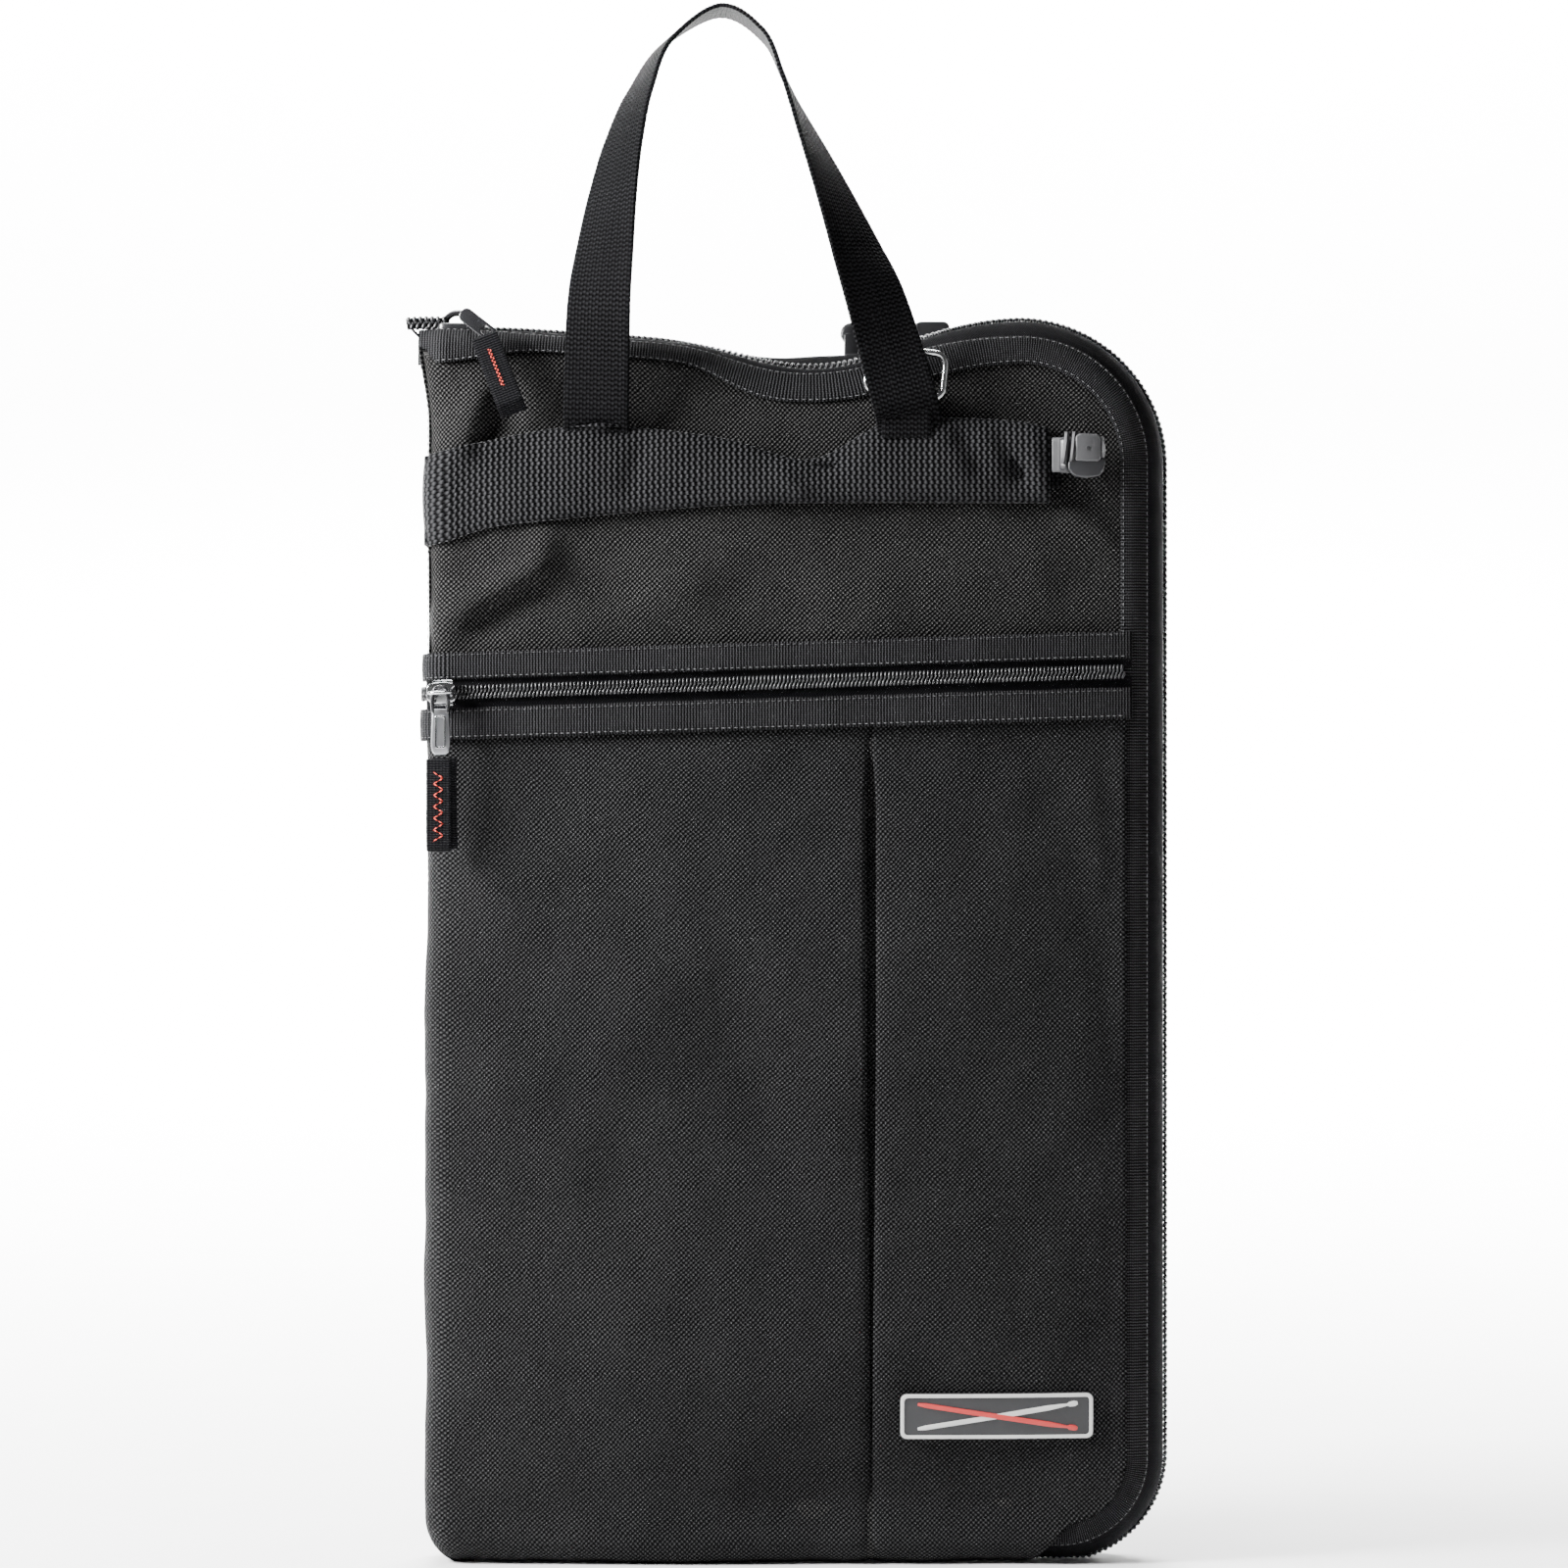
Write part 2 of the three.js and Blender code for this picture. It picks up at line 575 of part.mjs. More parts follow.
// A plain rubber patch that follows the panel.
function labelPatch() {
  const columns = 6;
  const rows = 2;
  return sheet(columns, rows, (i, j) => {
    const x = 39 + (75 * i) / columns;
    const z = 50 + (18 * j) / rows;
    const back = pocketOutside(x, z) + 0.5;
    return { x, z, outer: -(back + 0.9), inner: -back };
  });
}
addPart("label_patch", labelPatch(), PATCH_LOOK);

// ---- pocket slider and its pull ----------------------------------------------------------------

const SMALL_SLIDER = { x: -138, front: -26.2, pivotY: -29.8 };

function pocketSlider() {
  const { x, front, pivotY } = SMALL_SLIDER;
  const face = plate(roundedRectangle(x - 5.5, x + 5.5, -4.2, 4.2, 2), front, front + 1.4);
  const bridge = box(x - 4.4, x + 4.4, -32, front + 0.4, -1, 1);
  const window = box(x - 3, x + 3, pivotY - 1.4, pivotY + 1.8, -2, 2);
  return cut(join(face, bridge), window);
}
addPart("pocket_slider", pocketSlider(), CHROME_LOOK, pocketZip);

// The pull hangs straight down from the bridge, so it is placed level, outside the tilted frame.
const HANG_X = SMALL_SLIDER.x * Math.cos(POCKET_SLOPE);
const HANG_Z = POCKET_Z + SMALL_SLIDER.x * Math.sin(POCKET_SLOPE);

// A neck through the bridge's window, with a head that keeps it there, and a plate below.
function pocketPull() {
  const y = SMALL_SLIDER.pivotY;
  const shape = roundedRectangle(HANG_X - 3.6, HANG_X + 3.6, HANG_Z - 24, HANG_Z - 4.6, 2.4);
  const neck = box(HANG_X - 0.7, HANG_X + 0.7, y - 0.7, y + 0.7, HANG_Z - 6, HANG_Z + 2);
  const head = box(HANG_X - 1.4, HANG_X + 1.4, y - 0.7, y + 0.7, HANG_Z + 1.6, HANG_Z + 2.4);
  return join(plate(shape, y - 0.7, y + 0.7), neck, head);
}
addPart("pocket_pull", pocketPull(), CHROME_LOOK);
addPart(
  "pocket_pull_tab",
  box(HANG_X - 5, HANG_X + 5, SMALL_SLIDER.pivotY - 1.6, SMALL_SLIDER.pivotY + 1.4, HANG_Z - 62, HANG_Z - 26),
  WEB_LOOK,
);

export default bag;
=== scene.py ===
import json
import math

import bmesh
import bpy
import numpy as np
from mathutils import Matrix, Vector, noise


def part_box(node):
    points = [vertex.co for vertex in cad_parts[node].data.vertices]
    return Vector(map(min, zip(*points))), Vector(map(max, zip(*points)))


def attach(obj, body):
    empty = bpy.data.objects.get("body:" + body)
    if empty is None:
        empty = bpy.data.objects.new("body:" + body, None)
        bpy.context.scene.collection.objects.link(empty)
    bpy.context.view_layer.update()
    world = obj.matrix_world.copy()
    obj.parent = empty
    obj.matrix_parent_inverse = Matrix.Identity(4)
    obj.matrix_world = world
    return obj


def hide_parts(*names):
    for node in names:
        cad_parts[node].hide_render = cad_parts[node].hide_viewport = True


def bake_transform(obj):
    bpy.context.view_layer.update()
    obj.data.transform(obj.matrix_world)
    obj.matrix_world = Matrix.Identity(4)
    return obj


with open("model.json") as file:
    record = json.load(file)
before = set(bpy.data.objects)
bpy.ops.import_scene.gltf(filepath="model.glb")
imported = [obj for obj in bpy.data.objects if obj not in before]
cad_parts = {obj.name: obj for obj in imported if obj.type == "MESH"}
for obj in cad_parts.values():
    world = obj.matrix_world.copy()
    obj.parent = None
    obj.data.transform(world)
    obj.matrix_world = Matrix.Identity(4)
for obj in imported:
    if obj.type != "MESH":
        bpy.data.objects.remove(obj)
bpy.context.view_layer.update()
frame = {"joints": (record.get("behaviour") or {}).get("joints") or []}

# A padded drum stick bag. Lengths are in millimetres, and become metres when a mesh is made.
# -Y is the front, the spine is at -X, and the zip runs round the other three sides.

MM = 0.001


def node_box(node):
    low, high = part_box(node)
    return np.array(low) / MM, np.array(high) / MM


def joint(name):
    return next(j for j in frame["joints"] if j["name"] == name)


# ---- the case's driving sizes ---------------------------------------------------------------

SPINE_X = node_box("spine_gusset")[0][0]
FAR_X = -SPINE_X
TOP_Z, TOP_RISE = 478.0, 6.5
DIP, DIP_X, DIP_WIDTH = 13.0, 5.0, 40.0
R_TOP, R_FOOT = 57.0, 42.0
HALF = 17.0
CROWN = 4.0
SPINE_RADIUS = 8.0
FOOT_ROLL, HEEL_ROLL, FOOT_LIFT = 11.0, 18.0, 1.3
POCKET_ZIP_Z, POCKET_SLOPE = 342.5, math.radians(1.8)
PLEAT_X = 28.0


def smooth(x, low, high):
    t = np.clip((np.asarray(x, float) - low) / (high - low), 0, 1)
    return t * t * (3 - 2 * t)


def hill(x, centre, width):
    return np.exp(-(((np.asarray(x, float) - centre) / width) ** 2))


def mix(a, b, t):
    return a + (b - a) * t


def top_edge(x):
    near_lift = 2.6 * smooth(-np.asarray(x, float), 60, 125)
    return TOP_Z + near_lift + TOP_RISE * smooth(x, 15, 86) - DIP * hill(x, DIP_X, DIP_WIDTH)


def swell(t):
    return 1 - np.clip((np.abs(t) - 0.3) / 0.7, 0, 1) ** 3


def wander(x, z, size, seed=0.0):
    """Smooth seeded noise from -1 to 1, with features about size across."""
    x, z = np.broadcast_arrays(np.asarray(x, float), np.asarray(z, float))
    flat = [noise.noise(Vector((a / size, b / size, seed))) for a, b in zip(x.ravel(), z.ravel())]
    return np.array(flat).reshape(x.shape) * 1.6


# ---- lines in space -------------------------------------------------------------------------


class Path:
    """A line through points, measured along its length."""

    def __init__(self, points):
        self.points = np.asarray(points, float)
        steps = np.linalg.norm(np.diff(self.points, axis=0), axis=1)
        self.places = np.concatenate([[0], np.cumsum(steps)])
        self.length = self.places[-1]

    def at(self, s):
        return np.stack([np.interp(s, self.places, self.points[:, k]) for k in range(3)], -1)

    def tangent(self, s, reach=1.0):
        ahead = self.at(np.minimum(s + reach, self.length))
        behind = self.at(np.maximum(s - reach, 0))
        return unit(ahead - behind)

    def steps(self, pitch):
        return np.linspace(0, self.length, max(2, int(round(self.length / pitch)) + 1))


def unit(v):
    return v / np.maximum(np.linalg.norm(v, axis=-1, keepdims=True), 1e-9)


def spline(points, per_span=12):
    """Catmull-Rom through points of any dimension."""
    p = np.asarray(points, float)
    p = np.vstack([2 * p[0] - p[1], p, 2 * p[-1] - p[-2]])
    t = np.linspace(0, 1, per_span, endpoint=False)[:, None]
    spans = []
    for a, b, c, d in zip(p, p[1:], p[2:], p[3:]):
        spans.append(0.5 * (2 * b + (c - a) * t + (2 * a - 5 * b + 4 * c - d) * t**2
                            + (3 * b - a - 3 * c + d) * t**3))
    return np.vstack([*spans, p[-2:-1]])


def arc(centre_x, centre_z, radius, start, end, count=60):
    angles = np.radians(np.linspace(start, end, count))
    return np.stack([centre_x + radius * np.cos(angles), 0 * angles, centre_z + radius * np.sin(angles)],
                    -1)


def seam_line():
    """The big zip's line: over the top, round the far corner, down, and along the foot to the heel."""
    x = np.linspace(SPINE_X - 6, FAR_X - R_TOP, 300)
    over = np.stack([x, 0 * x, top_edge(x)], -1)
    corner = arc(FAR_X - R_TOP, top_edge(FAR_X - R_TOP) - R_TOP, R_TOP, 90, 0)[1:]
    foot = arc(FAR_X - R_FOOT, R_FOOT, R_FOOT, 0, -90)
    heel = np.array([[-125.0, 0, 0]])
    return Path(np.vstack([over, corner, foot, heel]))


SEAM = seam_line()
TOP_END = float(np.interp(FAR_X - R_TOP, SEAM.points[:300, 0], SEAM.places[:300]))
TOP_ARC_MIDDLE = TOP_END + R_TOP * math.pi / 4
FOOT_ARC_START = TOP_END + R_TOP * math.pi / 2 + (top_edge(FAR_X - R_TOP) - R_TOP - R_FOOT)
FOOT_ARC_MIDDLE = FOOT_ARC_START + R_FOOT * math.pi / 4
FOOT_ARC_END = FOOT_ARC_START + R_FOOT * math.pi / 2


def seam_outward(s):
    along = SEAM.tangent(s)
    return np.stack([-along[..., 2], 0 * along[..., 0], along[..., 0]], -1)


def edge_depth(s):
    """How far in from the zip the panel's rim is."""
    x = SEAM.at(s)[..., 0]
    on_top = np.asarray(s) < TOP_END
    left = mix(13.0, 8.5, smooth(x, -140, -100))
    dip = 3.2 * hill(x, 8, 30)
    return np.where(on_top, mix(left, 16.0, smooth(x, -45, -5)) - dip, 16.0)


def dip_share(s):
    return np.where(np.asarray(s) < TOP_END, hill(SEAM.at(s)[..., 0], 8, 38), 0.0)


def tuck_share(s):
    """1 where the zip has gone under the foot."""
    return smooth(s, FOOT_ARC_END - 14, FOOT_ARC_END + 10)


def edge_point(s, phi, side, lift=0.0):
    """A point on the case's rounded edge. phi is 0 at the panel's rim and 90 degrees at the zip."""
    s, phi = np.broadcast_arrays(np.asarray(s, float), np.radians(np.asarray(phi, float)))
    inset = edge_depth(s)
    out = -inset + (inset + lift) * np.sin(phi)
    depth = (HALF + lift) * np.cos(phi)
    tuck = tuck_share(s)
    depth = depth * mix(1, 0.3, smooth(-SEAM.at(s)[..., 0], 137, 150))
    depth = depth * mix(1, 0.7, tuck)
    out = out * mix(1, 0.8, tuck) - 0.6 * tuck
    lean = 7.0 * dip_share(s) * smooth(phi, 0.3, 1.4)
    back_rise = 9.0 * dip_share(s) * smooth(1.5 - phi, 0.1, 0.7) if side > 0 else 0 * s
    point = SEAM.at(s) + seam_outward(s) * (out + back_rise)[..., None]
    point[..., 1] = side * depth - lean
    return point


# ---- the case's surface ---------------------------------------------------------------------


def panel_depth(x, z):
    return CROWN * swell((x + 6) / 137) * swell((z - 242) / 215)


def ridge(x, z, start, end, height, width):
    """A soft fold along a line, fading at its ends."""
    a, b = np.array(start, float), np.array(end, float)
    along = (b - a) / np.linalg.norm(b - a)
    dx, dz = x - a[0], z - a[1]
    t = (dx * along[0] + dz * along[1]) / np.linalg.norm(b - a)
    off = -dx * along[1] + dz * along[0]
    ends = smooth(t, -0.35, 0.25) * smooth(-t, -1.35, -0.75)
    return height * np.exp(-((off / width) ** 2)) * ends


FRONT_FOLDS = [
    ((-137, 367), (-101, 387), 5.0, 8),
    ((-101, 384), (-97, 402), 3.0, 7),
    ((-126, 363), (-97, 381), -3.0, 6),
    ((-60, 372), (-36, 384), 1.6, 8),
    ((-123, 456), (-133, 428), 3.2, 6),
    ((-138, 466), (-140, 436), -1.2, 5),
    ((-112, 458), (-120, 432), -2.6, 5.5),
    ((-100, 392), (-128, 380), -0.8, 5),
    ((108, 455), (127, 447), 1.9, 3.2),
    ((106, 441), (128, 437), 1.6, 3.2),
    ((108, 425), (128, 419), 1.9, 3.6),
    ((104, 408), (126, 396), 1.6, 4),
    ((-40, 452), (-20, 462), 0.9, 5),
    ((60, 392), (100, 384), 0.8, 7),
]


def front_folds(x, z):
    total = 1.2 * wander(x, z, 46, 3.1) + 0.5 * wander(x, z, 17, 8.4)
    for fold in FRONT_FOLDS:
        total = total + ridge(x, z, *fold)
    return total


def back_folds(x, z):
    total = 0.9 * wander(x, z, 52, 21.0) + 0.3 * wander(x, z, 18, 12.0)
    total = total + ridge(x, z, (-60, 300), (70, 250), 1.2, 16)
    return total + ridge(x, z, (80, 120), (-90, 70), 1.0, 18)


def pocket_folds(x, z):
    total = 1.5 * wander(x, z, 60, 5.5) + 0.5 * wander(x, z, 19, 7.2)
    total = total + ridge(x, z, (-138, 300), (-112, 250), 2.2, 10)
    total = total + ridge(x, z, (-90, 150), (-60, 220), 1.6, 16)
    total = total + ridge(x, z, (-30, 250), (-8, 150), -1.4, 14)
    total = total + ridge(x, z, (112, 306), (122, 240), 1.0, 7)
    return total + ridge(x, z, (-120, 32), (-60, 20), 0.9, 8)


CORNER_START = SPINE_X + SPINE_RADIUS
CORNER_LENGTH = SPINE_RADIUS * math.pi / 2


def case_point(u, v, depth, side=-1):
    """u runs across the panel and on round the spine's corner, and v up from under the foot.

    depth stands out from the flat panel. Returns the points."""
    u, v, depth = np.broadcast_arrays(*(np.asarray(a, float) for a in (u, v, depth)))
    angle = np.clip((CORNER_START - u) / SPINE_RADIUS, 0, math.pi / 2)
    past = np.maximum(CORNER_START - CORNER_LENGTH - u, 0)
    normal = np.stack([-np.sin(angle), -np.cos(angle)], -1)
    x = np.where(u > CORNER_START, u, CORNER_START - SPINE_RADIUS * np.sin(angle))
    y = -HALF + SPINE_RADIUS * (1 - np.cos(angle)) + past
    roll = mix(FOOT_ROLL, HEEL_ROLL, smooth(-u, -CORNER_START - 30, -CORNER_START + 8))
    under = np.clip((roll - v) / roll, 0, math.pi / 2)
    z = np.where(v > roll, v, roll - (roll - FOOT_LIFT) * np.sin(under))
    stand = depth * np.cos(under) - roll * (1 - np.cos(under))
    z = z - depth * np.sin(under)
    x = x + normal[..., 0] * stand - 4.5 * smooth(z, 445, 482) * np.sin(angle)
    y = y + normal[..., 1] * stand
    points = np.stack([x, -side * y, np.maximum(z, 0.3)], -1)
    return points


def coons(left, right, bottom, top, columns, rows):
    """A grid between four edge curves, each a function of 0 to 1 that gives (u, v)."""
    a = np.linspace(0, 1, columns + 1)[:, None, None]
    b = np.linspace(0, 1, rows + 1)[None, :, None]
    s, t = a[:, 0, 0], b[0, :, 0]
    low, high = bottom(s)[:, None, :], top(s)[:, None, :]
    near, far = left(t)[None, :, :], right(t)[None, :, :]
    corners = (1 - a) * (1 - b) * near[:, :1] + (1 - a) * b * near[:, -1:]
    corners = corners + a * (1 - b) * far[:, :1] + a * b * far[:, -1:]
    return (1 - b) * low + b * high + (1 - a) * near + a * far - corners


def rim(s):
    """The panel's rim in u and v."""
    point = SEAM.at(s) - seam_outward(s) * edge_depth(s)[..., None]
    return np.stack([point[..., 0], point[..., 2]], -1)


FOOT_TURN = 110.0
FOOT_TURN_S = FOOT_ARC_END - R_FOOT * math.asin((FOOT_TURN - FAR_X + R_FOOT) / (R_FOOT - 16))


def foot_line(x):
    """The panel's lower edge: rolled under the foot, and up to the rim at the far corner."""
    under = -0.5 * FOOT_ROLL
    heel = -0.5 * HEEL_ROLL
    low = mix(under, heel, smooth(-x, -CORNER_START - 30, -CORNER_START + 8))
    rim_z = R_FOOT - math.sqrt((R_FOOT - 16) ** 2 - (FOOT_TURN - FAR_X + R_FOOT) ** 2)
    return mix(low, rim_z, smooth(x, 82, FOOT_TURN))


SPINE_U = CORNER_START - CORNER_LENGTH - 6.0


# ---- meshes ---------------------------------------------------------------------------------


def add_mesh(name, points, faces, material, cloth=None, smooth_faces=True):
    """A new object from points in millimetres. cloth is each point's place on the flat cloth."""
    mesh = bpy.data.meshes.new(name)
    mesh.from_pydata((np.asarray(points, float) * MM).tolist(), [], [tuple(map(int, f)) for f in faces])
    mesh.polygons.foreach_set("use_smooth", [smooth_faces] * len(mesh.polygons))
    if cloth is not None:
        corners = np.empty(len(mesh.loops), np.int64)
        mesh.loops.foreach_get("vertex_index", corners)
        layer = mesh.uv_layers.new(name="cloth")
        layer.data.foreach_set("uv", (np.asarray(cloth, float)[corners] * MM).astype(np.float32).ravel())
    mesh.materials.append(material)
    obj = bpy.data.objects.new(name, mesh)
    bpy.context.scene.collection.objects.link(obj)
    return obj


def grid_faces(columns, rows, start=0, flip=False):
    i, j = np.meshgrid(np.arange(columns - 1), np.arange(rows - 1), indexing="ij")
    a = (start + i * rows + j).ravel()
    faces = np.stack([a, a + rows, a + rows + 1, a + 1], -1)
    return faces[:, ::-1] if flip else faces


def grid_normals(points):
    du = np.gradient(points, axis=0)
    dv = np.gradient(points, axis=1)
    return unit(np.cross(du, dv))


def flat_lengths(points):
    """Lengths along and across a grid of points, measured on the cloth."""
    du = np.linalg.norm(np.diff(points, axis=0), axis=-1)
    dv = np.linalg.norm(np.diff(points, axis=1), axis=-1)
    u = np.concatenate([np.zeros((1, points.shape[1])), np.cumsum(du, 0)])
    v = np.concatenate([np.zeros((points.shape[0], 1)), np.cumsum(dv, 1)], 1)
    return np.stack([u, v], -1)


def shell(name, points, thickness, material, cloth=None, flip=False, bottom=None):
    """A closed sheet: the grid is its outer face, and thickness goes in behind it."""
    points = np.asarray(points, float)
    columns, rows = points.shape[:2]
    cloth = flat_lengths(points) if cloth is None else cloth
    normals = grid_normals(points) * (-1 if flip else 1)
    inner = points - normals * thickness if bottom is None else bottom
    count = columns * rows
    faces = [grid_faces(columns, rows, 0, flip), grid_faces(columns, rows, count, not flip)]
    ring = [i * rows for i in range(columns)]
    ring += [(columns - 1) * rows + j for j in range(1, rows)]
    ring += [i * rows + rows - 1 for i in range(columns - 2, -1, -1)]
    ring += list(range(rows - 2, 0, -1))
    ring = np.array(ring)
    after = np.roll(ring, -1)
    side = np.stack([after, ring, ring + count, after + count], -1)
    faces.append(side[:, ::-1] if flip else side)
    both = np.concatenate([points.reshape(-1, 3), inner.reshape(-1, 3)])
    flat = np.concatenate([cloth.reshape(-1, 2)] * 2)
    return add_mesh(name, both, np.concatenate(faces), material, flat)


def tube(name, rings, material, cloth=None, smooth_faces=True):
    """A closed body through rings of points, with a fan at each end."""
    rings = np.asarray(rings, float)
    count, size = rings.shape[:2]
    i, j = np.meshgrid(np.arange(count - 1), np.arange(size), indexing="ij")
    k = (j + 1) % size
    faces = np.stack([i * size + j, i * size + k, (i + 1) * size + k, (i + 1) * size + j],
                     -1).reshape(-1, 4)
    ends = [list(range(size - 1, -1, -1)), list(range((count - 1) * size, count * size))]
    if cloth is None:
        along = np.concatenate([[0], np.cumsum(np.linalg.norm(np.diff(rings.mean(1), axis=0), axis=1))])
        round_it = np.concatenate([[0], np.cumsum(np.linalg.norm(np.diff(rings[0], axis=0), axis=1))])
        cloth = np.stack(np.meshgrid(along, round_it, indexing="ij"), -1)
    return add_mesh(name, rings.reshape(-1, 3), [*faces.tolist(), *ends], material, cloth.reshape(-1, 2),
                    smooth_faces)


def closed_tube(name, rings, material):
    """A ring-shaped body: the last ring joins the first."""
    rings = np.asarray(rings, float)
    count, size = rings.shape[:2]
    i, j = np.meshgrid(np.arange(count), np.arange(size), indexing="ij")
    n, k = (i + 1) % count, (j + 1) % size
    faces = np.stack([i * size + j, i * size + k, n * size + k, n * size + j], -1).reshape(-1, 4)
    return add_mesh(name, rings.reshape(-1, 3), faces, material)


def frames_along(points, facing):
    """Tangent, side and face directions at each point, with the face kept near facing."""
    along = unit(np.gradient(points, axis=0))
    face = unit(facing - (facing * along).sum(-1, keepdims=True) * along)
    return along, np.cross(along, face), face


def slab_section(width, thickness, across=10):
    """A strap's section: flat, with rounded edges. Columns are across and out."""
    w = width / 2 - thickness / 2
    flat = np.linspace(-w, w, across)
    turn = np.radians(np.linspace(-90, 90, 5))[1:-1]
    right = np.stack([w + thickness / 2 * np.cos(turn), thickness / 2 * np.sin(turn)], -1)
    lower = np.stack([flat, 0 * flat - thickness / 2], -1)
    upper = np.stack([flat[::-1], 0 * flat + thickness / 2], -1)
    left = np.stack([-w - thickness / 2 * np.cos(turn), -thickness / 2 * np.sin(turn)], -1)
    return np.vstack([lower, right, upper, left])


def sweep(points, facing, section, scale=None):
    """Rings of a section carried along points. facing is the outward side of the strap."""
    points = np.asarray(points, float)
    facing = np.broadcast_to(np.asarray(facing, float), points.shape)
    _, side, face = frames_along(points, facing)
    across = section[None, :, 0, None] * (1 if scale is None else scale[:, None, None])
    return points[:, None] + side[:, None] * across + face[:, None] * section[None, :, 1, None]


def strap_cloth(points, section):
    """Lengths along and across a strap, centred across."""
    along = np.concatenate([[0], np.cumsum(np.linalg.norm(np.diff(points, axis=0), axis=1))])
    return np.stack(np.meshgrid(along, section[:, 0], indexing="ij"), -1)


def webbing(name, line, facing, section, material):
    """A strap with one section all along."""
    return tube(name, sweep(line, facing, section), material, cloth=strap_cloth(line, section))


def circle(radius, count=12):
    a = np.radians(np.linspace(0, 360, count, endpoint=False))
    return np.stack([radius * np.cos(a), radius * np.sin(a)], -1)


def plate(name, outline, depth, material, bevel=0.4, turn=0.0, about=(0, 0), segments=3, holes=()):
    """A moulded or stamped plate: an outline in x and z, between two y values, with rounded edges."""
    mesh = bpy.data.meshes.new(name)
    work = bmesh.new()
    loops = [outline, *holes]
    edges = []
    for loop in loops:
        verts = [work.verts.new((x, depth[0], z)) for x, z in loop]
        edges += [work.edges.new((a, b)) for a, b in zip(verts, verts[1:] + verts[:1])]
    bmesh.ops.triangle_fill(work, edges=edges, use_beauty=True, use_dissolve=True)
    front = list(work.faces)
    made = bmesh.ops.extrude_face_region(work, geom=front)
    for vert in [g for g in made["geom"] if isinstance(g, bmesh.types.BMVert)]:
        vert.co.y = depth[1]
    bmesh.ops.recalc_face_normals(work, faces=work.faces)
    sharp = [e for e in work.edges if len(e.link_faces) == 2 and e.calc_face_angle() > 0.6]
    if bevel:
        bmesh.ops.bevel(work, geom=sharp, offset=bevel, segments=segments, profile=0.5, affect="EDGES",
                        clamp_overlap=True)
    c, s = math.cos(turn), math.sin(turn)
    for vert in work.verts:
        dx, dz = vert.co.x - about[0], vert.co.z - about[1]
        vert.co.x, vert.co.z = about[0] + dx * c - dz * s, about[1] + dx * s + dz * c
        vert.co = vert.co * MM
    work.to_mesh(mesh)
    work.free()
    mesh.polygons.foreach_set("use_smooth", [True] * len(mesh.polygons))
    mesh.materials.append(material)
    obj = bpy.data.objects.new(name, mesh)
    bpy.context.scene.collection.objects.link(obj)
    return obj


def rounded(x0, x1, z0, z1, radius, steps=5):
    corners = [(x1, z1, 0), (x0, z1, 90), (x0, z0, 180), (x1, z0, 270)]
    outline = []
    for x, z, start in corners:
        cx, cz = x - math.copysign(radius, x - (x0 + x1) / 2), z - math.copysign(radius, z - (z0 + z1) / 2)
        for a in np.radians(np.linspace(start, start + 90, steps)):
            outline.append((cx + radius * math.cos(a), cz + radius * math.sin(a)))
    return outline


def scatter(name, places, material, half_length=0.7, half_width=0.22, half_height=0.16):
    """Many small thread stitches as one mesh. places are (point, direction, outward) in rows."""
    points, faces = [], []
    for point, along, out in places:
        side = np.cross(along, out)
        base = len(points)
        for a in (-1, 1):
            points.append(point + along * half_length * a)
        for w, h in ((1, 0), (0, 1), (-1, 0), (0, -1)):
            points.append(point + side * half_width * w + out * half_height * h)
        for k in range(4):
            one, two = base + 2 + k, base + 2 + (k + 1) % 4
            faces += [(base, two, one), (base + 1, one, two)]
    return add_mesh(name, np.array(points), faces, material)


def stitch_row(points, outward, pitch, lift=0.1):
    """Places for a row of stitches along a line of points."""
    path = Path(points)
    s = np.arange(pitch / 2, path.length, pitch)
    at, along = path.at(s), path.tangent(s, pitch / 2)
    facing = np.broadcast_to(np.asarray(outward, float), path.points.shape)
    out = unit(np.stack([np.interp(s, path.places, facing[:, k]) for k in range(3)], -1))
    out = unit(out - (out * along).sum(-1, keepdims=True) * along)
    return [(p + o * lift, a, o) for p, a, o in zip(at, along, out)]


# ---- finishes -------------------------------------------------------------------------------


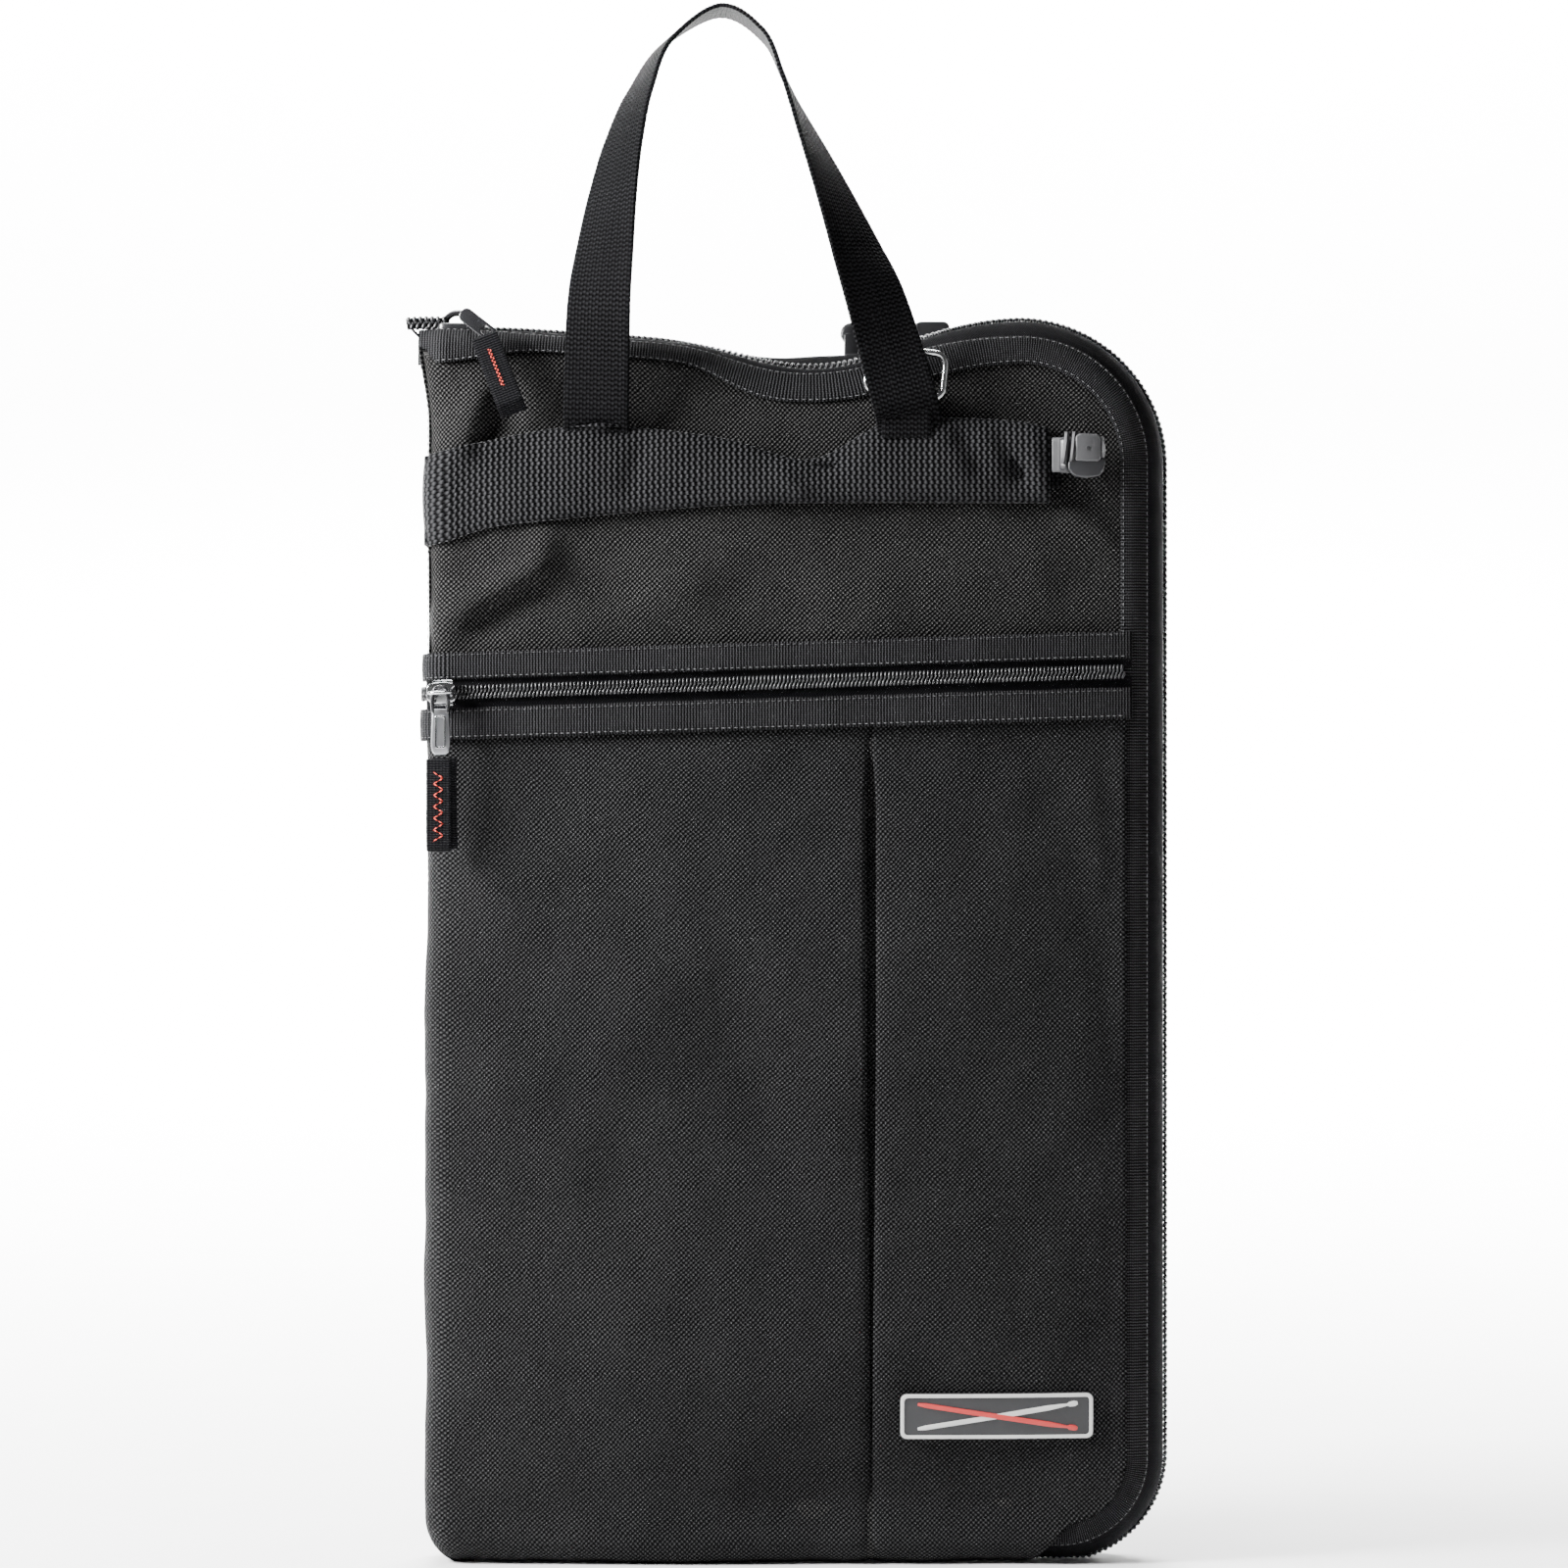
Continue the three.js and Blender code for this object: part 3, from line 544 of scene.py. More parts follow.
class Finish:
    """A principled material, with helpers for the nodes of its pattern."""

    def __init__(self, name, color, roughness, **sockets):
        self.material = bpy.data.materials.new(name)
        self.material.use_nodes = True
        self.tree = self.material.node_tree
        self.shader = self.tree.nodes["Principled BSDF"]
        self.shader.inputs["Base Color"].default_value = (*color, 1)
        self.shader.inputs["Roughness"].default_value = roughness
        for socket, value in sockets.items():
            self.shader.inputs[socket.replace("_", " ")].default_value = value

    def node(self, kind, *values, **settings):
        made = self.tree.nodes.new("ShaderNode" + kind)
        for key, value in settings.items():
            setattr(made, key, value)
        for socket, value in zip(made.inputs, values):
            self.feed(socket, value)
        return made

    def feed(self, socket, value):
        if isinstance(value, bpy.types.NodeSocket):
            self.tree.links.new(value, socket)
        elif value is not None:
            socket.default_value = value

    def math(self, operation, *values):
        return self.node("Math", *values, operation=operation).outputs[0]

    def cloth(self):
        """Lengths along and across the cloth, in millimetres."""
        place = self.node("UVMap", uv_map="cloth").outputs[0]
        parts = self.node("SeparateXYZ", place)
        return [self.math("MULTIPLY", parts.outputs[k], 1 / MM) for k in (0, 1)]

    def wave(self, place, pitch, phase=0.0):
        turned = self.math("MULTIPLY_ADD", place, 2 * math.pi / pitch, phase)
        return self.math("SINE", turned)

    def grain(self, size, detail=3.0, rough=0.55, stretch=(1, 1, 1)):
        """Noise from 0 to 1 in the object's own space, with features about size millimetres across."""
        place = self.node("TexCoord").outputs["Object"]
        place = self.node("Mapping", place, None, None, stretch).outputs[0]
        made = self.node("TexNoise")
        self.feed(made.inputs["Vector"], place)
        made.inputs["Scale"].default_value = 1 / (size * MM)
        made.inputs["Detail"].default_value = detail
        made.inputs["Roughness"].default_value = rough
        return made.outputs["Fac"]

    def blend(self, amount, dark, light):
        made = self.node("Mix", data_type="RGBA")
        self.feed(made.inputs[0], amount)
        made.inputs[6].default_value = (*dark, 1)
        made.inputs[7].default_value = (*light, 1)
        return made.outputs[2]

    def add(self, *terms):
        """Sum of (value, weight) pairs."""
        total = None
        for value, weight in terms:
            part = self.math("MULTIPLY", value, weight)
            total = part if total is None else self.math("ADD", total, part)
        return total

    def color(self, socket):
        self.feed(self.shader.inputs["Base Color"], socket)

    def rough(self, socket, low, high):
        ranged = self.node("MapRange", socket, 0.0, 1.0, low, high).outputs[0]
        self.feed(self.shader.inputs["Roughness"], ranged)

    def bump(self, height, distance, strength=1.0):
        made = self.node("Bump")
        made.inputs["Strength"].default_value = strength
        made.inputs["Distance"].default_value = distance * MM
        self.feed(made.inputs["Height"], height)
        self.feed(self.shader.inputs["Normal"], made.outputs[0])


def plain_weave(name, dark, light, pitch, depth):
    """A coarse plain weave: over and under bumps, with threads of uneven thickness."""
    f = Finish(name, light, 0.8, IOR=1.13)
    u, v = f.cloth()
    slub = f.math("MULTIPLY", f.math("SUBTRACT", f.grain(9, 2), 0.5), 1.6)
    over = f.math("MULTIPLY", f.wave(f.math("ADD", u, slub), pitch),
                  f.wave(f.math("SUBTRACT", v, slub), pitch))
    fuzz, patch = f.grain(0.5, 2), f.grain(42, 3)
    shade = f.math("SUBTRACT", f.add((over, 0.95), (fuzz, 0.8), (patch, 0.4)), 0.42)
    f.color(f.blend(shade, dark, light))
    f.rough(fuzz, 0.5, 0.7)
    f.bump(f.add((over, 0.7), (fuzz, 0.6)), depth)
    return f.material


def ribbed_weave(name, dark, light, rib, column, shift, depth, roughness=(0.45, 0.65)):
    """Webbing or grosgrain: ribs across the length, broken into columns that step by shift."""
    f = Finish(name, light, 0.7, IOR=1.1)
    u, v = f.cloth()
    step = f.math("MULTIPLY", f.math("SIGN", f.wave(v, 2 * column)), shift)
    ribs = f.math("SINE", f.math("ADD", f.math("MULTIPLY", u, 2 * math.pi / rib), step))
    groove = f.math("ABSOLUTE", f.wave(v, 2 * column))
    fuzz, patch = f.grain(0.35, 2), f.grain(30, 3)
    height = f.add((ribs, 0.5), (groove, 0.45), (fuzz, 0.25))
    shade = f.math("SUBTRACT", f.add((ribs, 0.5), (groove, 0.4), (fuzz, 0.6), (patch, 0.3)), 0.35)
    f.color(f.blend(shade, dark, light))
    f.rough(fuzz, *roughness)
    f.bump(height, depth)
    return f.material


def herringbone(name, dark, light, pitch, column, depth):
    f = Finish(name, light, 0.7, IOR=1.1)
    u, v = f.cloth()
    zigzag = f.math("MULTIPLY", f.math("PINGPONG", v, column), 1.0)
    twill = f.wave(f.math("ADD", u, zigzag), pitch)
    fuzz = f.grain(0.4, 2)
    f.color(f.blend(f.math("ADD", f.add((twill, 0.3), (fuzz, 0.5)), 0.2), dark, light))
    f.rough(fuzz, 0.6, 0.85)
    f.bump(f.add((twill, 0.6), (fuzz, 0.3)), depth)
    return f.material


def fine_cloth(name, dark, light, roughness=0.6, depth=0.05):
    f = Finish(name, light, roughness, Sheen_Weight=0.05, Specular_IOR_Level=0.3)
    u, v = f.cloth()
    twill = f.wave(f.math("ADD", u, v), 0.6)
    fuzz, patch = f.grain(0.4, 2), f.grain(35, 3)
    f.color(f.blend(f.add((twill, 0.15), (fuzz, 0.3), (patch, 0.6)), dark, light))
    f.rough(fuzz, roughness - 0.1, roughness + 0.15)
    f.bump(f.add((twill, 0.3), (fuzz, 0.4)), depth)
    return f.material


def moulded(name, dark, light, roughness, depth=0.04, size=0.6, **sockets):
    """Plastic, enamel or rubber: a fine grain, dust and small handling marks."""
    f = Finish(name, light, roughness, **sockets)
    grain, marks = f.grain(size, 4), f.grain(14, 6, 0.7)
    f.color(f.blend(f.add((grain, 0.35), (marks, 0.65)), dark, light))
    f.rough(marks, max(roughness - 0.12, 0.05), roughness + 0.15)
    f.bump(f.add((grain, 0.7), (marks, 0.3)), depth)
    return f.material


def metal(name, dark, light, roughness, **sockets):
    """Plated metal: faint brushing, and marks where it has been handled."""
    f = Finish(name, light, roughness, Metallic=1.0, **sockets)
    brush, marks = f.grain(0.5, 3, 0.6, (1, 1, 0.15)), f.grain(5, 5, 0.7)
    f.color(f.blend(f.add((brush, 0.3), (marks, 0.7)), dark, light))
    f.rough(marks, max(roughness - 0.08, 0.04), roughness + 0.16)
    f.bump(brush, 0.02)
    return f.material


SHELL = plain_weave("shell_cloth", (0.0008, 0.0008, 0.001), (0.058, 0.057, 0.056), 1.9, 0.6)
POCKET_CLOTH = plain_weave("pocket_cloth", (0.0008, 0.0008, 0.001), (0.042, 0.042, 0.043), 1.9, 0.6)
HANDLE_WEB = ribbed_weave("handle_webbing", (0.0005, 0.0005, 0.0006), (0.011, 0.011, 0.012), 1.9, 1.35,
                          0.9, 0.4)
BAND_WEB = ribbed_weave("band_webbing", (0.0008, 0.0008, 0.001), (0.036, 0.036, 0.038), 2.3, 1.6, 0.8, 0.7)
GROSGRAIN = ribbed_weave("edge_grosgrain", (0.001, 0.001, 0.0012), (0.034, 0.034, 0.036), 1.15, 0.9,
                         0.25, 0.4)
TAB_WEB = ribbed_weave("tab_webbing", (0.002, 0.002, 0.003), (0.016, 0.016, 0.017), 0.95, 1.3, 0.2, 0.3)
ZIP_TAPE = herringbone("zip_tape", (0.002, 0.002, 0.0025), (0.01, 0.01, 0.011), 1.0, 1.6, 0.2)
LINING = fine_cloth("lining_cloth", (0.012, 0.012, 0.014), (0.055, 0.055, 0.06))
NYLON = moulded("zip_nylon", (0.005, 0.005, 0.0055), (0.022, 0.022, 0.024), 0.26, 0.01)
CHROME = metal("bright_chrome", (0.5, 0.5, 0.51), (0.86, 0.87, 0.88), 0.14)
NICKEL = metal("brushed_nickel", (0.34, 0.34, 0.36), (0.62, 0.63, 0.65), 0.3)
ENAMEL = moulded("black_enamel", (0.008, 0.008, 0.009), (0.022, 0.022, 0.024), 0.24, 0.01, Coat_Weight=0.4)
GREY_PLASTIC = moulded("grey_plastic", (0.028, 0.028, 0.03), (0.068, 0.068, 0.071), 0.45, 0.03)
BLACK_PLASTIC = moulded("black_plastic", (0.008, 0.008, 0.009), (0.03, 0.03, 0.033), 0.36, 0.03)
RUBBER = moulded("rubber_field", (0.012, 0.012, 0.013), (0.035, 0.035, 0.038), 0.6, 0.04)
RUBBER_PALE = moulded("rubber_print", (0.5, 0.5, 0.49), (0.68, 0.68, 0.66), 0.5, 0.02)
RUBBER_RED = moulded("rubber_red", (0.42, 0.02, 0.02), (0.6, 0.04, 0.035), 0.5, 0.02)
RED_THREAD = moulded("red_thread", (0.5, 0.035, 0.02), (0.75, 0.07, 0.04), 0.6, 0.03, 0.2)
GREY_THREAD = moulded("grey_thread", (0.05, 0.05, 0.053), (0.13, 0.13, 0.135), 0.5, 0.02, 0.2)
BLACK_THREAD = moulded("black_thread", (0.012, 0.012, 0.013), (0.05, 0.05, 0.053), 0.5, 0.02, 0.2)


# ---- the padded panels ----------------------------------------------------------------------


def line_of(points):
    """A function of 0 to 1 that runs evenly along points in u and v."""
    flat = np.asarray(points, float)
    path = Path(np.stack([flat[:, 0], 0 * flat[:, 0], flat[:, 1]], -1))
    return lambda t: path.at(np.asarray(t) * path.length)[..., [0, 2]]


def rim_distance(u, v):
    """How far a point of the panel is inside its rim."""
    corner_x, foot_x = FAR_X - R_TOP, FAR_X - R_FOOT
    corner_z = top_edge(corner_x) - R_TOP
    inside = np.minimum(top_edge(u) - 14 - v, FAR_X - 16 - u)
    corner = R_TOP - 16 - np.hypot(u - corner_x, v - corner_z)
    foot = R_FOOT - 16 - np.hypot(u - foot_x, v - R_FOOT)
    inside = np.where((u > corner_x) & (v > corner_z), corner, inside)
    return np.where((u > foot_x) & (v < R_FOOT), foot, inside)


def foot_edge(start, stop):
    u = np.linspace(start, stop, 60)
    return [*np.stack([u, foot_line(u)], -1)]


def far_rim(top_s):
    s = np.linspace(FOOT_ARC_MIDDLE, top_s, 200)
    return rim(s)


def panel_grid(columns, rows):
    s_top = np.linspace(8, TOP_ARC_MIDDLE, 200)
    top = [(SPINE_U, 473.5), (SPINE_X - 3, 471.5), *rim(s_top)]
    s_foot = np.linspace(FOOT_TURN_S - 1, FOOT_ARC_MIDDLE, 20)
    bottom = [*foot_edge(SPINE_U, FOOT_TURN), *rim(s_foot)]
    left = [bottom[0], top[0]]
    return coons(line_of(left), line_of(far_rim(TOP_ARC_MIDDLE)), line_of(bottom), line_of(top), columns,
                 rows)


PAD = 4.6


def padded_panel(name, side, folds, nodes):
    """Outer cloth and its padding as one closed body, turned in at the spine and the foot."""
    grid = panel_grid(110, 170)
    u, v = grid[..., 0], grid[..., 1]
    settle = smooth(rim_distance(u, v), -1, 13)
    depth = panel_depth(u, v) + folds(u, v) * settle
    outer = case_point(u, v, depth, side)
    inner = case_point(u, v, panel_depth(u, v) - PAD, side)
    piece = shell(name, outer, PAD, SHELL, cloth=grid, flip=side > 0, bottom=inner)
    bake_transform(piece)
    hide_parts(*nodes)
    return piece


# ---- the pocket -----------------------------------------------------------------------------


def chain_z(x):
    return POCKET_ZIP_Z + np.asarray(x, float) * math.tan(POCKET_SLOPE)


def pleat_gap(v):
    """How far apart the pleat's folds stand."""
    return 0.8 + 2.8 * smooth(-v, -322, -292) - 3.2 * smooth(-v, -225, -12)


def pocket_depth(u, v):
    bulge = swell((u + 11) / 131) * swell((v - 171.5) / 147.5)
    folds = pocket_folds(u, v) * smooth(rim_distance(u, v), 0, 12) * smooth(chain_z(u) - v, 14, 32)
    return panel_depth(u, v) + 2.0 + 5 * bulge + folds


def pleat_dip(u, v):
    """The folds' edges roll in towards the pleat."""
    return 1.5 * np.exp(-np.abs(u - PLEAT_X) / 2.6) * smooth(-v, -332, -300)


def pocket_piece(name, grid):
    u, v = grid[..., 0], grid[..., 1]
    points = case_point(u, v, pocket_depth(u, v) - pleat_dip(u, v))
    piece = shell(name, points, 1.1, POCKET_CLOTH, cloth=grid)
    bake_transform(piece)
    return piece


def pocket_top(x):
    return chain_z(x) - 9


def pocket_near():
    v = np.linspace(0, 1, 110)
    near_x = lambda z: PLEAT_X - pleat_gap(z) / 2
    bottom = foot_edge(SPINE_U + 1, PLEAT_X)
    left = [(SPINE_U + 1, bottom[0][1]), (SPINE_U + 1, pocket_top(SPINE_U))]
    heights = mix(bottom[-1][1], pocket_top(PLEAT_X), v)
    right = np.stack([near_x(heights), heights], -1)
    top = [left[1], (right[-1][0], pocket_top(PLEAT_X))]
    grid = coons(line_of(left), line_of(right), line_of(bottom), line_of(top), 76, 130)
    piece = pocket_piece("pocket_panel_near", grid)
    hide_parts("pocket_panel")
    return piece


def pocket_far():
    far_x = lambda z: PLEAT_X + pleat_gap(z) / 2
    v = np.linspace(0, 1, 110)
    s_foot = np.linspace(FOOT_TURN_S - 1, FOOT_ARC_MIDDLE, 20)
    bottom = [*foot_edge(PLEAT_X + 0.2, FOOT_TURN), *rim(s_foot)]
    heights = mix(bottom[0][1], pocket_top(PLEAT_X), v)
    left = np.stack([far_x(heights), heights], -1)
    zip_s = FOOT_ARC_START - (pocket_top(FAR_X - 16) - R_FOOT)
    right = far_rim(zip_s)
    top = [left[-1], (FAR_X - 16, pocket_top(FAR_X - 16))]
    grid = coons(line_of(left), line_of(right), line_of(bottom), line_of(top), 50, 130)
    piece = pocket_piece("pocket_panel_far", grid)
    return piece


def pleat_back():
    """The folded cloth at the bottom of the pleat."""
    z = np.linspace(6, 330, 80)
    x = np.linspace(PLEAT_X - 5, PLEAT_X + 5, 5)
    grid = np.stack(np.meshgrid(x, z, indexing="ij"), -1)
    depth = pocket_depth(grid[..., 0], grid[..., 1]) - 3.6
    piece = shell("pleat_fold", case_point(grid[..., 0], grid[..., 1], depth), 0.7, POCKET_CLOTH,
                  cloth=grid)
    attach(piece, "pocket_flap")
    return piece


# ---- the case's edges -----------------------------------------------------------------------


def edge_strip(name, s, low, high, lifts, side, material, across=9):
    """Tape over the case's edge, from angle low to angle high, between two lifts."""
    t = np.linspace(0, 1, across)
    phi = mix(np.asarray(low, float)[:, None], np.asarray(high, float)[:, None], t[None, :])
    place = np.broadcast_to(s[:, None], phi.shape)
    crown = np.sin(np.pi * t)[None, :] * 0.35
    outer = edge_point(place, phi, side, lifts[1]) + 0 * phi[..., None]
    middle = edge_point(place, phi, side, lifts[0])
    outer = outer + unit(outer - middle) * crown[..., None]
    cloth = flat_lengths(outer)
    cloth[..., 0] = place
    return shell(name, outer, 1.0, material, cloth=cloth, flip=side < 0, bottom=middle)


def edge_pieces(side, word, body):
    s = np.arange(0.5, SEAM.length - 2, 1.6)
    x = SEAM.at(s)[:, 0]
    on_left = np.where(s < TOP_END, smooth(-x, 95, 142), 0)
    far_side = np.where(s > TOP_END, 1.0, smooth(x, 40, 86))
    low = mix(np.full(len(s), -5.0), -8, far_side)
    high = mix(mix(38 + 8 * dip_share(s), 62, on_left), 30, far_side)
    keep = s < FOOT_ARC_END + 12 if side < 0 else s < SEAM.length
    binding = edge_strip(word + "_edge_binding_tape", s[keep], low[keep], high[keep], (0.3, 1.5), side,
                         GROSGRAIN)
    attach(binding, body)
    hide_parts(word + "_edge_binding")
    tape_low = high - 6
    tape = edge_strip(word + "_zip_band", s, tape_low, np.full(len(s), 72.0), (-0.5, 0.1), side, ZIP_TAPE)
    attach(tape, body)
    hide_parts(word + "_zip_tape")
    edge_stitches(word, s[keep], low[keep], high[keep], side, body)


def edge_stitches(word, s, low, high, side, body):
    places = []
    for phi in (low + 4, high - 3):
        line = edge_point(s, phi, side, 1.75)
        outward = line - edge_point(s, phi, side, -3)
        places += stitch_row(line, outward, 2.6)
    row = scatter(word + "_edge_stitching", places, GREY_THREAD, 0.95, 0.2, 0.16)
    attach(row, body)


# ---- zips -----------------------------------------------------------------------------------


def capsules(name, centres, axes, ups, half, radii, material, sides=6):
    """Many small rounded teeth as one mesh. Each lies along its axis."""
    spread = np.array([-1, -0.8, 0, 0.8, 1])
    girth = np.array([0.45, 1, 1.05, 1, 0.45])
    sideways = np.cross(axes, ups)
    a = np.radians(np.arange(sides) * 360 / sides)
    ring = ups[:, None, None] * np.cos(a)[None, None, :, None] * radii[1]
    ring = ring + sideways[:, None, None] * np.sin(a)[None, None, :, None] * radii[0]
    points = centres[:, None, None] + axes[:, None, None] * (spread * half)[None, :, None, None]
    points = points + ring * girth[None, :, None, None]
    count, rings = len(centres), len(spread)
    faces = []
    i, j = np.meshgrid(np.arange(rings - 1), np.arange(sides), indexing="ij")
    k = (j + 1) % sides
    one = np.stack([i * sides + j, i * sides + k, (i + 1) * sides + k, (i + 1) * sides + j],
                   -1).reshape(-1, 4)
    caps = [list(range(sides - 1, -1, -1)), list(range((rings - 1) * sides, rings * sides))]
    for n in range(count):
        base = n * rings * sides
        faces += (one + base).tolist()
        faces += [[base + c for c in cap] for cap in caps]
    return add_mesh(name, points.reshape(-1, 3), faces, material)


BIG_PITCH, SMALL_PITCH = 2.3, 1.5


def big_zip_row(side, word, body):
    start = 4 if side < 0 else 4 + BIG_PITCH / 2
    s = np.arange(start, SEAM.length - 3, BIG_PITCH)
    share = dip_share(s)
    roll = np.radians(48) * share
    out = seam_outward(s)
    along = SEAM.tangent(s)
    front = np.array([0, -1.0, 0])
    across = front * np.cos(roll)[:, None] - out * np.sin(roll)[:, None]
    up = out * np.cos(roll)[:, None] + front * np.sin(roll)[:, None]
    slant = unit(across * -side * 1.0 + along * 0.22 * side)
    lift = 0.5 - 1.6 * tuck_share(s) - 1.0 * share
    centre = SEAM.at(s) + out * lift[:, None] + front * (7.6 * share)[:, None]
    centre = centre + across * (-side * 1.45)
    centre[:, 2] = np.maximum(centre[:, 2], 1.2)
    row = capsules(word + "_zip_teeth", centre, slant, up, 1.85, (0.84, 0.8), NYLON, 8)
    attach(row, body)
    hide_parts(word + "_zip_coil")


def pocket_strip(name, offsets, lift, thickness, material, body, node, start=None, end=None, crown=0.3):
    """A strip along the pocket's zip, between two offsets from its line."""
    u = np.linspace(SPINE_U + 2 if start is None else start, FAR_X - 14 if end is None else end, 190)
    t = np.linspace(0, 1, 7)
    grid = np.stack(np.meshgrid(u, t, indexing="ij"), -1)
    u, t = grid[..., 0], grid[..., 1]
    v = chain_z(u) + mix(offsets[0], offsets[1], t)
    sway = 0.18 * wander(u, 0 * u, 11, offsets[0])
    depth = panel_depth(u, v) + lift + crown * np.sin(np.pi * t) + sway
    outer = case_point(u, v + sway, depth)
    cloth = np.stack([u, v], -1)
    piece = shell(name, outer, thickness, material, cloth=cloth)
    if body == "pocket_flap":
        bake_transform(piece)
    else:
        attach(piece, body)
    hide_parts(node)
    return piece


def strip_stitches(name, offset, lift, body, material, pitch=2.4, half=0.85):
    u = np.linspace(SPINE_U + 4, FAR_X - 17, 160)
    v = chain_z(u) + offset
    line = case_point(u, v, panel_depth(u, v) + lift)
    under = case_point(u, v, panel_depth(u, v) + lift - 4)
    row = scatter(name, stitch_row(line, line - under, pitch, 0.02), material, half, 0.2, 0.16)
    if body == "pocket_flap":
        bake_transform(row)
    else:
        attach(row, body)


def small_zip_row(name, sign, body, node):
    u = np.arange(SPINE_U + 4, FAR_X - 17, SMALL_PITCH) + (0 if sign > 0 else SMALL_PITCH / 2)
    v = chain_z(u) + sign * 1.3
    lift = panel_depth(u, v) + 3.3
    centre = case_point(u, v, lift)
    out = unit(centre - case_point(u, v, lift - 2))
    along = unit(np.gradient(centre, axis=0))
    across = np.cross(along, out)
    across = across * np.sign(across[:, 2:3])
    axis = unit(across + along * (0.12 if sign > 0 else 0.45))
    row = capsules(name, centre, axis, out, 1.5, (0.52, 0.75), NYLON, 8)
    if body == "pocket_flap":
        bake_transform(row)
    else:
        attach(row, body)
    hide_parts(node)


def pocket_zip():
    upper, lower = "front_cover", "pocket_flap"
    strip = pocket_strip("pocket_hem_upper", (5.2, 15.6), 3.6, 2.2, GROSGRAIN, upper,
                         "pocket_upper_binding")
    strip = pocket_strip("pocket_zip_band_upper", (1.7, 7.5), 2.1, 0.6, ZIP_TAPE, upper,
                         "pocket_upper_tape", crown=0)
    strip = pocket_strip("pocket_zip_band_lower", (-7.5, -1.7), 2.1, 0.6, ZIP_TAPE, lower,
                         "pocket_lower_tape", crown=0)
    strip = pocket_strip("pocket_hem_lower", (-18.2, -6.0), 4.2, 2.4, GROSGRAIN, lower,
                         "pocket_lower_binding")
    small_zip_row("pocket_teeth_upper", 1, upper, "pocket_upper_coil")
    small_zip_row("pocket_teeth_lower", -1, lower, "pocket_lower_coil")
    strip_stitches("pocket_thread_1", 14.6, 3.85, upper, BLACK_THREAD)
    strip_stitches("pocket_thread_2", 6.1, 3.95, upper, GREY_THREAD)
    strip_stitches("pocket_thread_3", -7.2, 4.55, lower, BLACK_THREAD)
    strip_stitches("pocket_thread_4", -17.0, 4.55, lower, GREY_THREAD)


# ---- webbing: the sleeves, the handles and the spine ----------------------------------------

SLEEVE_TOP = [
    (-160, 430.5), (-143, 431), (-118, 436.5), (-91, 441), (-63, 441), (-28, 436.5),
    (4, 428.5), (30, 441), (55, 444.6), (85, 443.4), (98, 440),
]
SLEEVE_LOW = [(-160, 395), (-141, 395.6), (-120, 402), (-97, 404.7), (-44, 409.6), (2, 411.5), (98, 411.5)]
SLEEVE_END = 97.0


def along_stations(x, stations):
    line = spline(stations)
    return np.interp(x, line[:, 0], line[:, 1])


def sleeve_puckers(x, z):
    total = 0.5 * wander(x, z, 9, 2.2) * smooth(x, 40, 80)
    for fold in [((62, 441), (70, 424), -2.2, 4), ((78, 438), (86, 420), -1.8, 3.5),
                 ((24, 436), (8, 426), -1.8, 5)]:
        total = total + ridge(x, z, *fold)
    for fold in [((-8, 424), (2, 414), 1.4, 4), ((-60, 436), (-66, 414), -1.4, 5),
                 ((90, 440), (93, 414), 1.3, 3)]:
        total = total + ridge(x, z, *fold)
    return total + 0.8 * wander(x, z, 24, 9.1)


def sleeve(name, side, node, start_u):
    u = np.concatenate([np.linspace(start_u, -134, 16)[:-1], np.linspace(-134, SLEEVE_END, 150)])
    t = np.linspace(0, 1, 27)
    grid = np.stack(np.meshgrid(u, t, indexing="ij"), -1)
    u, t = grid[..., 0], grid[..., 1]
    low, high = along_stations(u, SLEEVE_LOW), along_stations(u, SLEEVE_TOP)
    turned = np.pi * (1.16 * t - 0.08)
    v = mix(low, high, 0.5 - 0.5 * np.cos(turned))
    round_out = np.clip(np.sin(turned), 0, 1) ** 0.45
    open_end = smooth(u, 70, SLEEVE_END)
    puff = mix(2.6, 5.2, smooth(u, -134, -84)) + mix(0, 1.2, smooth(u, -40, 0)) + 0.6 * open_end
    mouth = 5.6 * (hill(u, -78, 17) ** 2 + hill(u, 43, 17) ** 2).clip(0, 1) * smooth(t, 0.55, 0.9)
    fold = sleeve_puckers(u, v) * round_out if side < 0 else 0.5 * wander(u, v, 30, 4.4) * round_out
    under = np.maximum(front_folds(u, v), 0) if side < 0 else np.maximum(back_folds(u, v), 0)
    depth = panel_depth(u, v) + under + 0.7 + np.maximum(puff * round_out, mouth) + fold
    outer = case_point(u, v, depth, side)
    length = flat_lengths(outer)
    cloth = np.stack([u, length[..., 1]], -1)
    piece = shell(name, outer, 1.2, BAND_WEB, cloth=cloth, flip=side > 0)
    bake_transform(piece)
    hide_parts(node)
    places = []
    for turn in (0.13, 0.87):
        k = int(round(turn * 26))
        line = outer[6:-1, k]
        facing = grid_normals(outer)[6:-1, k] * (1 if side < 0 else -1)
        places += stitch_row(line, facing, 3.0, 0.12)
    row = scatter(name + "_thread", places, BLACK_THREAD, 1.1, 0.22, 0.18)
    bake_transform(row)
    return piece


def spine_strip(name, half, z_range, depth, thickness, material, nodes):
    turn = CORNER_START - CORNER_LENGTH - (HALF - SPINE_RADIUS)
    u = turn + np.linspace(half, -half, 13)
    v = np.linspace(*z_range, 120)
    grid = np.stack(np.meshgrid(u, v, indexing="ij"), -1)
    points = case_point(grid[..., 0], grid[..., 1],
                        depth + 0.25 * wander(grid[..., 0], grid[..., 1], 24, 1.7))
    piece = shell(name, points, thickness, material, cloth=grid[..., ::-1], flip=True)
    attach(piece, "spine")
    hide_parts(*nodes)
    return piece


